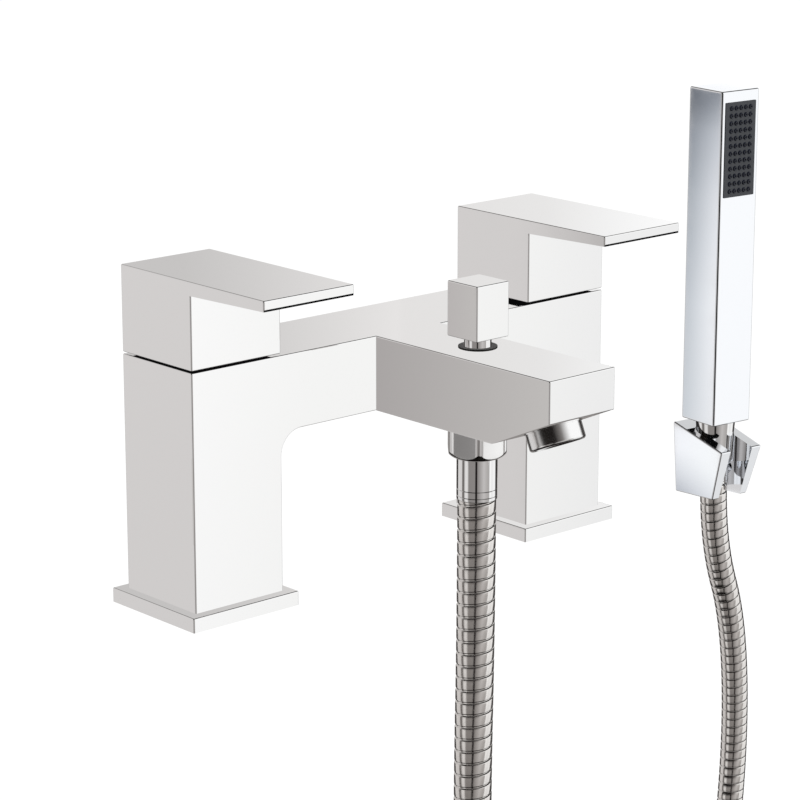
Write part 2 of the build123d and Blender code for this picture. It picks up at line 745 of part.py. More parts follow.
def make_nozzles(face_y, middle_z):
    """The rubber nozzles of the spray plate, separate solids in one group."""
    nozzles = []
    for column in range(nozzle_columns):
        for row in range(nozzle_rows):
            x = handset_x + (column - (nozzle_columns - 1) / 2) * nozzle_pitch_x
            z = middle_z + (row - (nozzle_rows - 1) / 2) * nozzle_pitch_z
            cone = Cone(nozzle_radius, nozzle_tip_radius, nozzle_height)
            nozzles.append(Pos(x, face_y - nozzle_height / 2, z) * Rot(90, 0, 0) * cone)
    save_turned("spray_nozzles", Compound(children=nozzles))


def make_bracket():
    """The wedge-shaped wall bracket with its conical seat, front slot and screw holes."""
    x, y = handset_x, handset_y
    top = handset_bottom - bracket_below_handset
    wall_y = y + bracket_wall_offset
    bottom = top - bracket_back_height
    front_top = (y - bracket_front_top_offset, handset_bottom - bracket_front_top_drop)
    front_bottom = (y - bracket_front_bottom_offset, handset_bottom - bracket_front_bottom_drop)
    side_outline = [(wall_y, top), front_top, front_bottom, (wall_y, bottom)]
    half_top = bracket_top_width / 2
    half_bottom = bracket_bottom_width / 2
    bracket = side_prism(side_outline, x - half_top, x + half_top)
    front_outline = [
        (x - half_bottom, bottom - overrun),
        (x + half_bottom, bottom - overrun),
        (x + half_top, top + overrun),
        (x - half_top, top + overrun),
    ]
    taper = Plane.XZ.offset(-wall_y - overrun) * make_face(Polyline(*front_outline, close=True))
    bracket = bracket & extrude(taper, amount=bracket_wall_offset * 3)
    bracket = fillet(bracket.edges(), bracket_edge_radius)
    draft = (cone_top_radius - cone_bottom_radius) / cone_length
    seat_top = cone_top_radius + bracket_seat_gap
    seat_low_radius = seat_top - draft * (cone_length + overrun)
    bracket -= upright_cone(seat_low_radius, seat_top, cone_bottom - overrun, handset_bottom, x, y)
    bracket -= rod(ferrule_radius + bracket_seat_gap, bottom - overrun, cone_bottom, x, y)
    half_slot = bracket_slot_width / 2
    slot_reach = bracket_front_top_offset + overrun
    bracket -= block(x - half_slot, x + half_slot, y - slot_reach, y, bottom - overrun, top + overrun)
    screw_middle = (top + bottom) / 2
    for level in (-1, 1):
        z = screw_middle + level * bracket_screw_spacing / 2
        bracket -= back_rod(bracket_screw_radius, y, wall_y + overrun, x, z)
        head_y = wall_y - bracket_screw_head_depth * 2
        bracket -= back_rod(bracket_screw_head_radius, y, head_y, x, z)
    save_turned("wall_bracket", bracket)
    print("bracket top", round(top, 2), "bottom", round(bottom, 2), "wall", round(wall_y, 2))


def make_aerator():
    """The tilted nozzle housing with its seal and its perforated insert."""
    place = aerator_place()
    bore = aerator_radius - aerator_wall
    housing = rod(aerator_radius, -aerator_proud, aerator_seat_depth)
    housing = chamfer(housing.edges().group_by(Axis.Z)[0], aerator_tip_chamfer)
    housing -= rod(bore, -aerator_proud - overrun, aerator_seat_depth + overrun)
    save("aerator_housing", place * housing)
    insert_top = aerator_seat_depth - aerator_seal_height
    seal = tube(bore - seat_gap, waterway_radius, insert_top, aerator_seat_depth)
    save("aerator_seal", place * seal)
    insert = rod(bore - seat_gap, insert_top - aerator_insert_height, insert_top)
    for ring in range(aerator_rings + 1):
        count = max(1, ring * 6)
        spots = PolarLocations(ring * aerator_cell_pitch, count)
        for spot in spots:
            hole = Pos(0, 0, insert_top) * spot * Cylinder(aerator_cell_radius, aerator_insert_height * 3)
            insert -= hole
    save("aerator_insert", place * insert)


save("body_casting", make_body())
for side, name in ((-1, "left"), (1, "right")):
    make_base(side, name)
    make_valve(side, name)
    make_lever(side, name)
make_diverter()
make_outlet()
make_hose()
make_hose_end()
make_handset()
make_bracket()
make_aerator()
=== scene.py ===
"""Looks of a deck bath shower mixer with a metal hose, a stick handset and its wall bracket.

Everything is in metres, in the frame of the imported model: the origin lies on the deck, midway
between the inlets, +X runs to the right valve, -Y along the spout and +Z up.
"""

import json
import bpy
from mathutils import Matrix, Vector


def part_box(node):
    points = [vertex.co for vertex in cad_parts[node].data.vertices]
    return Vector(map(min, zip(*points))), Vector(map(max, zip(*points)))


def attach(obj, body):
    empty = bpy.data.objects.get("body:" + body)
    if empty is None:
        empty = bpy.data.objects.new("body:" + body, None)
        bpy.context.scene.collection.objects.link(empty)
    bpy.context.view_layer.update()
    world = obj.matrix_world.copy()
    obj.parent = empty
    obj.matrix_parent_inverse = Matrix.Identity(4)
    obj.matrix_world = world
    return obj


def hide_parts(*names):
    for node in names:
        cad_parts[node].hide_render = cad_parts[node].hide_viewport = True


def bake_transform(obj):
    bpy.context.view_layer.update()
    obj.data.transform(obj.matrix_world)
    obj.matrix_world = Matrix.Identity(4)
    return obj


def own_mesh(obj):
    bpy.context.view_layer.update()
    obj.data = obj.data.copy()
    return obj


bl_info = {
    "name": "Deck Bath Shower Mixer",
    "version": (1, 0, 0),
    "blender": (4, 5, 0),
    "location": "View3D > Sidebar > Mixer",
    "description": "Finishes a deck bath shower mixer, its hose, handset and wall bracket",
    "category": "Object",
}

from bisect import bisect_right
from math import asin, cos, pi, radians, sin

import bmesh
import bpy
from mathutils import Matrix, Vector
from mathutils.geometry import intersect_line_plane

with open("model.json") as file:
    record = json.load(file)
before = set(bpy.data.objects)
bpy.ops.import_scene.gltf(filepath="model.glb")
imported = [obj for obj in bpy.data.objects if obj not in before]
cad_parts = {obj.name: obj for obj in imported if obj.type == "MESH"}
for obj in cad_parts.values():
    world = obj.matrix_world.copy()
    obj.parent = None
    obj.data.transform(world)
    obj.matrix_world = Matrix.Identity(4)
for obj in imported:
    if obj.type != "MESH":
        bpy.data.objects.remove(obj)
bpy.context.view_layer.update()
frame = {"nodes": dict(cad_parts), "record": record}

MM = 0.001
NODE_SLOTS = {part["node"]: part["material_slot"] for part in frame["record"]["subparts"]}

# Where things lie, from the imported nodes
CASTING_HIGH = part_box("body_casting")[1]
KNOB_LOW, KNOB_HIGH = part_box("diverter_knob")
NUT_LOW, NUT_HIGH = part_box("hose_nut")
FERRULE_LOW, FERRULE_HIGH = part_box("mixer_hose_ferrule")
SHELL_LOW, SHELL_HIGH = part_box("handset_shell")
PLATE_LOW, PLATE_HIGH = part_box("spray_plate")
CONE_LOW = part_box("cone_nut")[0]
HANDSET_FERRULE_LOW, HANDSET_FERRULE_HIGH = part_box("handset_hose_ferrule")
BRACKET_LOW, BRACKET_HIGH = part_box("wall_bracket")
HOSE_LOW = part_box("shower_hose")[0]
DIVERTER_Y = (KNOB_LOW.y + KNOB_HIGH.y) / 2
HANDSET_X = (HANDSET_FERRULE_LOW.x + HANDSET_FERRULE_HIGH.x) / 2
HANDSET_Y = (HANDSET_FERRULE_LOW.y + HANDSET_FERRULE_HIGH.y) / 2

# The handset and its bracket stand square to each other, turned a little from the mixer
HANDSET_TURN = radians(-5.9)
HANDSET_HALF = 14.0 * MM
HANDSET_FRAME = Matrix.Translation((HANDSET_X, HANDSET_Y, 0.0)) @ Matrix.Rotation(HANDSET_TURN, 4, "Z")

# The sloping underside of the spout's tip, from its knee to its end
SPOUT_HALF = 17.8 * MM
BRIDGE_FRONT = -22.2 * MM
SLOPE_START = Vector((0.0, -90.8, 72.2)) * MM
SLOPE_END = Vector((0.0, -122.7, 86.4)) * MM

# The hose's route from the mixer to the handset, points listed one by one
HOSE_ROUTE = [
    (0.000, DIVERTER_Y, FERRULE_LOW.z),
    (0.000, DIVERTER_Y, -0.014),
    (-0.002, -0.064, -0.090),
    (0.001, -0.062, -0.200),
    (0.008, -0.058, -0.320),
    (0.034, -0.041, -0.432),
    (0.088, -0.008, -0.528),
    (0.170, 0.044, -0.596),
    (0.266, 0.106, -0.622),
    (0.356, 0.160, -0.592),
    (0.428, 0.203, -0.512),
    (0.472, 0.226, -0.404),
    (0.493, 0.231, -0.296),
    (0.487, 0.229, -0.200),
    (HANDSET_X, HANDSET_Y, -0.142),
    (HANDSET_X, HANDSET_Y, HANDSET_FERRULE_LOW.z),
]

# Where the cards and flags stand, and how much brighter they glow than the plate mirrors them; the cards are
# painted reflections and the flags painted shade, glowing sheets seen only in mirrors
MIRROR_GLOW = 1.12
PAINTED_REFLECTION_GLOW = 1.17
CARD_INSET = 1.0 * MM
KNOB_CARD_AWAY = 22.0 * MM
NUT_CARD_AWAY = 260.0 * MM
NUT_LEFT_TURN = radians(-69.0)
NUT_RIGHT_TURN = radians(-9.0)
NUT_HALF_CORNERS = 13.3 * MM
NUT_HALF_FLATS = 11.5 * MM
HANDSET_CARD_AWAY = 350.0 * MM
TOP_CARD_AWAY = 60.0 * MM
FLAG_AWAY = 60.0 * MM
FLAG_BELOW = 18.0 * MM
FLAG_HALF_WIDTH = 55.0 * MM
TIP_FLAG_HEIGHT = 0.5 * MM
TIP_THICKNESS = 4.3 * MM
LEFTWARD = Vector((-1.0, 0.0, 0.0))

# From the handset's axis to the face of its spray plate
PLATE_FACE = 14.4 * MM

# The bracket's sides: half widths at the top and the foot, and how far it reaches from the handset's axis
BRACKET_HALF_TOP = 16.2 * MM
BRACKET_HALF_FOOT = 13.1 * MM
BRACKET_FRONT = -23.2 * MM
BRACKET_BACK = 18.8 * MM

# How finely round shapes and cards are divided
FERRULE_STEPS = 64
SPOUT_NOZZLE_STEPS = 72
SPRAY_NOZZLE_STEPS = 20
ROUTE_STEPS = 40
CROWN_STEPS = 6
FLAT_STEPS = 12
CORNER_STEPS = 6
CARD_CUTS = 7

# Points nearer than this are merged, and edges sharper than these angles stay sharp in the shading
MERGE_WITHIN = 0.001 * MM
NUT_SHARP = radians(30)
RING_SHARP = radians(35)
NOZZLES_SHARP = radians(40)
HOSE_SHARP = radians(50)

SIDES = ("left", "right")
BODY_NODES = ["body_casting"]
BODY_NODES += [side + "_" + part for side in SIDES for part in ("base_plate", "deck_seal")]
INLET_NODES = [side + "_" + part for side in SIDES for part in ("inlet_socket", "inlet_strainer")]
VALVE_PARTS = ("valve_body", "valve_seal", "fixed_disc", "moving_disc", "valve_spindle")
VALVE_NODES = [side + "_" + part for side in SIDES for part in VALVE_PARTS]
LEVER_NODES = [side + "_" + part for side in SIDES for part in ("lever_handle", "lever_screw", "lever_plug")]
DIVERTER_NODES = ["diverter_knob", "diverter_stem", "diverter_bush", "diverter_seal_ring"]
DIVERTER_NODES += ["diverter_valve", "diverter_washer", "diverter_spring"]
OUTLET_NODES = ["hose_outlet_nipple", "check_valve", "outlet_washer"]
SPOUT_NOZZLE_NODES = ["aerator_insert", "aerator_seal"]
HANDSET_NODES = ["handset_shell", "spray_plate", "handset_water_tray", "handset_inlet"]
HANDSET_NODES += ["flow_washer", "handset_washer", "cone_nut"]
BRACKET_NODES = ["wall_bracket"]


def tint(hex_colour):
    """A linear colour from an sRGB hex value such as #EEEEEF."""
    linear = []
    for start in (1, 3, 5):
        value = int(hex_colour[start:start + 2], 16) / 255
        linear.append(value / 12.92 if value <= 0.04045 else ((value + 0.055) / 1.055) ** 2.4)
    return (*linear, 1.0)


def add_node(tree, kind, settings=None, links=None):
    """Add a node, give its properties, sockets and colour stops their values, and link its inputs."""
    node = tree.nodes.new(kind)
    for name, value in (settings or {}).items():
        if name == "stops":
            elements = node.color_ramp.elements
            while len(elements) < len(value):
                elements.new(1.0)
            while len(elements) > len(value):
                elements.remove(elements[-1])
            for element, (place, colour) in zip(elements, value):
                element.position = place
                element.color = tint(colour)
        elif isinstance(name, str) and hasattr(node, name):
            setattr(node, name, value)
        else:
            node.inputs[name].default_value = value
    for name, source in (links or {}).items():
        tree.links.new(source, node.inputs[name])
    return node


def empty_material(name):
    """A new material without nodes, returned with its tree."""
    material = bpy.data.materials.new(name)
    material.use_nodes = True
    material.node_tree.nodes.clear()
    return material, material.node_tree


def start_material(name, colour, metallic, roughness):
    """A new material with one principled shader, returned with its tree and the shader."""
    material, tree = empty_material(name)
    settings = {"Base Color": colour, "Metallic": metallic, "Roughness": roughness}
    shader = add_node(tree, "ShaderNodeBsdfPrincipled", settings)
    add_node(tree, "ShaderNodeOutputMaterial", links={"Surface": shader.outputs["BSDF"]})
    return material, tree, shader


def grain(tree, shader, size_mm, smooth, rough, height_mm, stretch):
    """Noise with features of a size in millimetres, which drives the roughness and a bump."""
    place = add_node(tree, "ShaderNodeTexCoord").outputs["Object"]
    mapping = add_node(tree, "ShaderNodeMapping", {"Scale": stretch}, {"Vector": place})
    pattern = {"Scale": 1 / (size_mm * MM), "Detail": 3.0, "Roughness": 0.55}
    noise = add_node(tree, "ShaderNodeTexNoise", pattern, {"Vector": mapping.outputs["Vector"]})
    limits = {"From Min": 0.3, "From Max": 0.7, "To Min": smooth, "To Max": rough}
    spread = add_node(tree, "ShaderNodeMapRange", limits, {"Value": noise.outputs["Fac"]})
    relief = {"Strength": 1.0, "Distance": height_mm * MM}
    bump = add_node(tree, "ShaderNodeBump", relief, {"Height": noise.outputs["Fac"]})
    tree.links.new(spread.outputs["Result"], shader.inputs["Roughness"])
    tree.links.new(bump.outputs["Normal"], shader.inputs["Normal"])


def finish_values(finishes):
    """Every finish: colour, metallic, roughness, shine, its grain's size in mm, the roughness at the grain's
    smoothest and dullest, its height in mm and its stretch."""
    polish = finishes.chrome_roughness
    lathe = finishes.turned_roughness
    even = (1.0, 1.0, 1.0)
    return {
        # Decorative chrome plate over polished brass: a bright neutral mirror with faint polishing haze
        "chrome_on_brass": (finishes.chrome_colour, 1.0, 0.05, 0.5, 9.0, polish, polish * 1.6, 0.0004, even),
        # Chrome plate over turned brass: fine lathe lines under the plate soften what it mirrors
        "chrome_on_turned_brass": (
            finishes.chrome_colour, 1.0, 0.12, 0.5, 1.6, lathe, lathe * 1.3, 0.0006, (1.0, 1.0, 5.0)
        ),
        # Chrome plate over moulded ABS: a slightly bluer mirror than on brass
        "chrome_on_abs": (
            finishes.bright_chrome_colour, 1.0, 0.05, 0.5, 14.0, polish, polish * 1.6, 0.0006, even
        ),
        # Polished stainless strip, wound and interlocked: a warmer grey mirror with fine rolling lines
        "rolled_steel_strip": (finishes.hose_colour, 1.0, 0.14, 0.5, 1.2, 0.10, 0.20, 0.004, even),
        # Turned brass, unplated inside the body: warm metal with fine tool marks
        "machined_brass": (finishes.brass_colour, 1.0, 0.3, 0.5, 0.6, 0.22, 0.38, 0.006, (1.0, 1.0, 6.0)),
        # Drawn stainless wire and pressed stainless sheet: plain grey metal, a little dull
        "bright_stainless": (finishes.steel_colour, 1.0, 0.25, 0.5, 0.8, 0.20, 0.32, 0.003, even),
        # Black EPDM rubber from a mould: dull, nearly black, with a fine skin
        "moulded_rubber": (finishes.rubber_colour, 0.0, 0.7, 0.5, 0.7, 0.62, 0.8, 0.01, even),
        # Dark blue-black silicone rubber: soft sheen on small rounded tips
        "silicone_nozzle_rubber": (finishes.nozzle_colour, 0.0, 0.45, 0.5, 0.5, 0.38, 0.55, 0.006, even),
        # Lapped alumina ceramic: creamy white and smooth
        "lapped_alumina": (finishes.ceramic_colour, 0.0, 0.18, 0.5, 1.0, 0.14, 0.24, 0.001, even),
        # Black acetal guide bush, turned: satin black with a weak highlight
        "black_acetal": (finishes.bush_colour, 0.0, 0.4, 0.15, 0.6, 0.34, 0.48, 0.004, even),
        # White acetal mouldings inside the water way: matt white
        "white_acetal": (finishes.white_plastic_colour, 0.0, 0.45, 0.5, 1.5, 0.38, 0.52, 0.004, even),
        # Slate-grey ABS spray plate with a satin spark texture from its mould
        "satin_grey_abs": (finishes.spray_colour, 0.0, 0.4, 0.5, 0.35, 0.36, 0.5, 0.012, even),
        # Clear reinforced PVC liner, seen only at its ends: milky and smooth
        "clear_pvc": (finishes.liner_colour, 0.0, 0.3, 0.5, 2.0, 0.26, 0.36, 0.002, even),
    }


SLOT_FINISHES = {
    "polished_chrome": "chrome_on_brass",
    "hose_steel": "rolled_steel_strip",
    "machined_brass": "machined_brass",
    "stainless_steel": "bright_stainless",
    "black_rubber": "moulded_rubber",
    "nozzle_rubber": "silicone_nozzle_rubber",
    "ceramic_disc": "lapped_alumina",
    "black_plastic": "black_acetal",
    "white_plastic": "white_acetal",
    "spray_plastic": "satin_grey_abs",
    "clear_liner": "clear_pvc",
}

# Chromed pieces whose plate lies on something else than polished brass
OTHER_CHROME = {
    "handset_shell": "chrome_on_abs",
    "wall_bracket": "chrome_on_abs",
    "aerator_housing": "chrome_on_turned_brass",
}


def finish_of(node_name):
    """The material of a CAD node, made the first time that one is asked for."""
    name = OTHER_CHROME.get(node_name, SLOT_FINISHES[NODE_SLOTS[node_name]])
    made = bpy.data.materials.get(name)
    if made:
        return made
    values = finish_values(bpy.context.scene.mixer_finishes)[name]
    plate, metallic, roughness, shine, *grain_values = values
    material, tree, shader = start_material(name, plate, metallic, roughness)
    shader.inputs["Specular IOR Level"].default_value = shine
    grain(tree, shader, *grain_values)
    return material


def coat(piece, material):
    """Give a piece one material."""
    piece.data.materials.clear()
    piece.data.materials.append(material)


def keep_out_of_mirrors(piece):
    """Polished faces mirror the studio alone, as in a retouched catalogue picture."""
    piece.visible_glossy = False


def finish_nodes(names, mirrored=False):
    """Give CAD pieces their finishes, and leave them out of mirrors or in them."""
    for name in names:
        coat(frame["nodes"][name], finish_of(name))
        if not mirrored:
            keep_out_of_mirrors(frame["nodes"][name])


def link_mesh(name, mesh_builder):
    """Turn a bmesh into an object at the origin."""
    mesh = bpy.data.meshes.new(name)
    mesh_builder.to_mesh(mesh)
    mesh_builder.free()
    piece = bpy.data.objects.new(name, mesh)
    bpy.context.scene.collection.objects.link(piece)
    return piece


def put_in_scene(name, mesh_builder, body, *nodes):
    """Turn a bmesh into a piece at the origin that rides on a body and stands for CAD nodes."""
    piece = link_mesh(name, mesh_builder)
    coat(piece, finish_of(nodes[0]))
    keep_out_of_mirrors(piece)
    if body:
        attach(piece, body)
    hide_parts(*nodes)
    return piece


def round_corner(radius, height, size, start, end, steps=4):
    """Points of an arc in a turned outline, about a centre, between two angles in degrees."""
    turns = [radians(start + (end - start) * step / steps) for step in range(steps + 1)]
    return [(radius + size * cos(turn), height + size * sin(turn)) for turn in turns]


def turned(outline, steps, place):
    """A turned ring: a closed outline of (radius, height) points spun full round and put in place."""
    mesh_builder = bmesh.new()
    corners = [mesh_builder.verts.new((radius, 0.0, height)) for radius, height in outline]
    edges = [mesh_builder.edges.new(pair) for pair in zip(corners, corners[1:] + corners[:1])]
    bmesh.ops.spin(
        mesh_builder, geom=corners + edges, cent=(0.0, 0.0, 0.0), axis=(0.0, 0.0, 1.0), angle=2 * pi,
        steps=steps, use_merge=True)
    bmesh.ops.remove_doubles(mesh_builder, verts=mesh_builder.verts, dist=MERGE_WITHIN)
    bmesh.ops.recalc_face_normals(mesh_builder, faces=mesh_builder.faces)
    bmesh.ops.transform(mesh_builder, matrix=place, verts=mesh_builder.verts)
    return mesh_builder


def shade_with_edges(piece, angle):
    """Smooth shading that keeps edges sharper than an angle and flat faces flat."""
    piece.data.shade_smooth()
    piece.data.set_sharp_from_angle(angle=angle)
    weighted = piece.modifiers.new("flat_faces", "WEIGHTED_NORMAL")
    weighted.keep_sharp = True


def mm_size(name, description, size):
    """A length that a user may change, its default given in millimetres."""
    return bpy.props.FloatProperty(name=name, description=description, unit="LENGTH", default=size * MM)


def colour_choice(name, description, hex_colour):
    """A colour that a user may change."""
    return bpy.props.FloatVectorProperty(
        name=name, description=description, subtype="COLOR", size=4, min=0.0, max=1.0,
        default=tint(hex_colour))


class MixerFinishes(bpy.types.PropertyGroup):
    """Colours and polish of the mixer's materials."""

    chrome_colour: colour_choice("Chrome", "Chrome plate on brass", "#EEEEEE")
    bright_chrome_colour: colour_choice("Bright chrome", "Chrome plate on ABS", "#EDEFF2")
    hose_colour: colour_choice("Hose strip", "Stainless strip of the hose", "#E2DFDC")
    brass_colour: colour_choice("Brass", "Bare brass inside", "#D9B568")
    steel_colour: colour_choice("Stainless", "Spring, strainers and grub screws", "#C9C9C8")
    rubber_colour: colour_choice("Rubber", "Seals and washers", "#1B1B1B")
    nozzle_colour: colour_choice("Nozzles", "Silicone spray nozzles", "#151926")
    ceramic_colour: colour_choice("Ceramic", "Valve discs", "#F1EEE6")
    bush_colour: colour_choice("Bush", "Guide bush of the diverter", "#131312")
    white_plastic_colour: colour_choice("White plastic", "Mouldings in the water way", "#E6E6E3")
    spray_colour: colour_choice("Spray plate", "Slate-grey spray plate", "#2D3035")
    liner_colour: colour_choice("Liner", "Hose liner", "#E3E3DE")
    chrome_roughness: bpy.props.FloatProperty(
        name="Chrome roughness", description="Roughness of the best polished places", min=0.0, max=1.0,
        default=0.035)
    turned_roughness: bpy.props.FloatProperty(
        name="Turned roughness", description="Roughness of chrome over turned brass", min=0.0, max=1.0,
        default=0.15)


class HoseSizes(bpy.types.PropertyGroup):
    """Sizes of the interlocked metal hose."""

    diameter: mm_size("Diameter", "Outside of the bands", 15.8)
    band_pitch: mm_size("Band pitch", "Advance of the strip in one turn", 5.26)
    groove_depth: mm_size("Groove depth", "Step between two bands", 0.7)
    sides: bpy.props.IntProperty(name="Sides", description="Points round the hose", min=8, default=32)
    length: mm_size("Length", "Free length between the ferrules", 1460.0)


class FerruleSizes(bpy.types.PropertyGroup):
    """Sizes of the hose's pressed ferrules."""

    radius: mm_size("Radius", "Outside of the shell", 8.3)
    bore_radius: mm_size("Bore radius", "Way through for the water", 5.8)
    neck_radius: mm_size("Neck radius", "Neck inside the nut", 7.2)
    collar_radius: mm_size("Collar radius", "Collar that holds the nut", 9.3)
    collar_height: mm_size("Collar height", "Thickness of the collar", 2.0)
    edge: mm_size("Edge", "Rounding of the shell's ends", 0.5)
    crimp_height: mm_size("Crimp height", "First crimp line above the mouth", 1.7)
    crimp_pitch: mm_size("Crimp pitch", "From one crimp line to the next", 2.8)
    crimp_depth: mm_size("Crimp depth", "Depth and half width of a line", 0.16)
    crimp_count: bpy.props.IntProperty(name="Crimps", description="Number of crimp lines", min=0, default=2)


class NutSizes(bpy.types.PropertyGroup):
    """Sizes of the hexagonal hose nut under the spout."""

    half_flats: mm_size("Half flats", "From the axis to a flat", 11.52)
    corner: mm_size("Corner", "Rounding of the upright corners", 1.8)
    foot_radius: mm_size("Foot radius", "Flat ring at the foot", 10.0)
    crown: mm_size("Crown", "Rounding between foot and flats", 5.5)
    crown_start: bpy.props.FloatProperty(
        name="Crown start", description="Slope of the crown at the foot", subtype="ANGLE",
        default=radians(25.0))
    bore_radius: mm_size("Bore radius", "Bore for the nipple", 9.68)
    neck_radius: mm_size("Neck radius", "Hole for the ferrule's neck", 7.25)
    floor: mm_size("Floor", "Thickness of the foot", 2.2)
    turn: bpy.props.FloatProperty(
        name="Turn", description="Where the nut came to rest", subtype="ANGLE", default=radians(-9.0))


class SpoutNozzleSizes(bpy.types.PropertyGroup):
    """Sizes of the round nozzle under the spout's tip."""

    radius: mm_size("Radius", "Outside of the housing", 11.4)
    bore_radius: mm_size("Bore radius", "Inside, round the insert", 10.1)
    proud: mm_size("Proud", "Out of the spout's underside", 7.6)
    seat_depth: mm_size("Seat depth", "Into the spout's underside", 6.2)
    rim: mm_size("Rim", "Rounding of the mouth's outer rim", 1.1)
    lip: mm_size("Lip", "Bevel inside the mouth", 0.5)
    flange: mm_size("Flange", "Width and height of the flange at the spout", 0.5)


class SprayNozzleSizes(bpy.types.PropertyGroup):
    """Sizes and pattern of the rubber nozzles in the spray plate."""

    radius: mm_size("Radius", "At the plate", 1.45)
    tip_radius: mm_size("Tip radius", "At the tip", 1.1)
    hole_radius: mm_size("Hole radius", "Water hole", 0.42)
    height: mm_size("Height", "Out of the plate", 0.9)
    root: mm_size("Root", "Into the plate", 0.1)
    edge: mm_size("Edge", "Rounding of the tip", 0.25)
    columns: bpy.props.IntProperty(name="Columns", description="Across the plate", min=1, default=5)
    rows: bpy.props.IntProperty(name="Rows", description="Down the plate", min=1, default=12)
    pitch_across: mm_size("Pitch across", "Between columns", 3.57)
    pitch_down: mm_size("Pitch down", "Between rows", 4.32)


class StudioSettings(bpy.types.PropertyGroup):
    """Camera, floor and light round the mixer."""

    camera_place: bpy.props.FloatVectorProperty(
        name="Camera place", description="Where the camera stands", subtype="TRANSLATION", size=3,
        default=(-0.7986, -0.9147, 0.3870))
    camera_azimuth: bpy.props.FloatProperty(
        name="Camera azimuth", description="Turn of the view from +Y towards +X", subtype="ANGLE",
        default=radians(41.65))
    camera_pitch: bpy.props.FloatProperty(
        name="Camera pitch", description="How far the view looks down", subtype="ANGLE",
        default=radians(14.67))
    focal_length: bpy.props.FloatProperty(
        name="Focal length", description="Lens in millimetres on a 36 mm sensor", default=135.36)
    floor_gap: mm_size("Floor gap", "Floor below the hose's lowest point", 12.0)
    floor_side: mm_size("Floor side", "Side of the square floor", 14000.0)


class MIXER_OT_body(bpy.types.Operator):
    """Finish the casting, its base plates and deck seals, and what lies inside the legs"""

    bl_idname = "mixer.body"
    bl_label = "Body and inlets"

    def execute(self, context):
        finish_nodes(BODY_NODES + INLET_NODES + VALVE_NODES)
        return {"FINISHED"}


class MIXER_OT_levers(bpy.types.Operator):
    """Finish the two lever handles with their screws and plugs"""

    bl_idname = "mixer.levers"
    bl_label = "Lever handles"

    def execute(self, context):
        finish_nodes(LEVER_NODES)
        return {"FINISHED"}


class MIXER_OT_diverter(bpy.types.Operator):
    """Finish the diverter's knob, stem, bush, valve and spring"""

    bl_idname = "mixer.diverter"
    bl_label = "Diverter"

    def execute(self, context):
        finish_nodes(DIVERTER_NODES)
        spring = frame["nodes"]["diverter_spring"]
        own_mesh(spring)
        return {"FINISHED"}


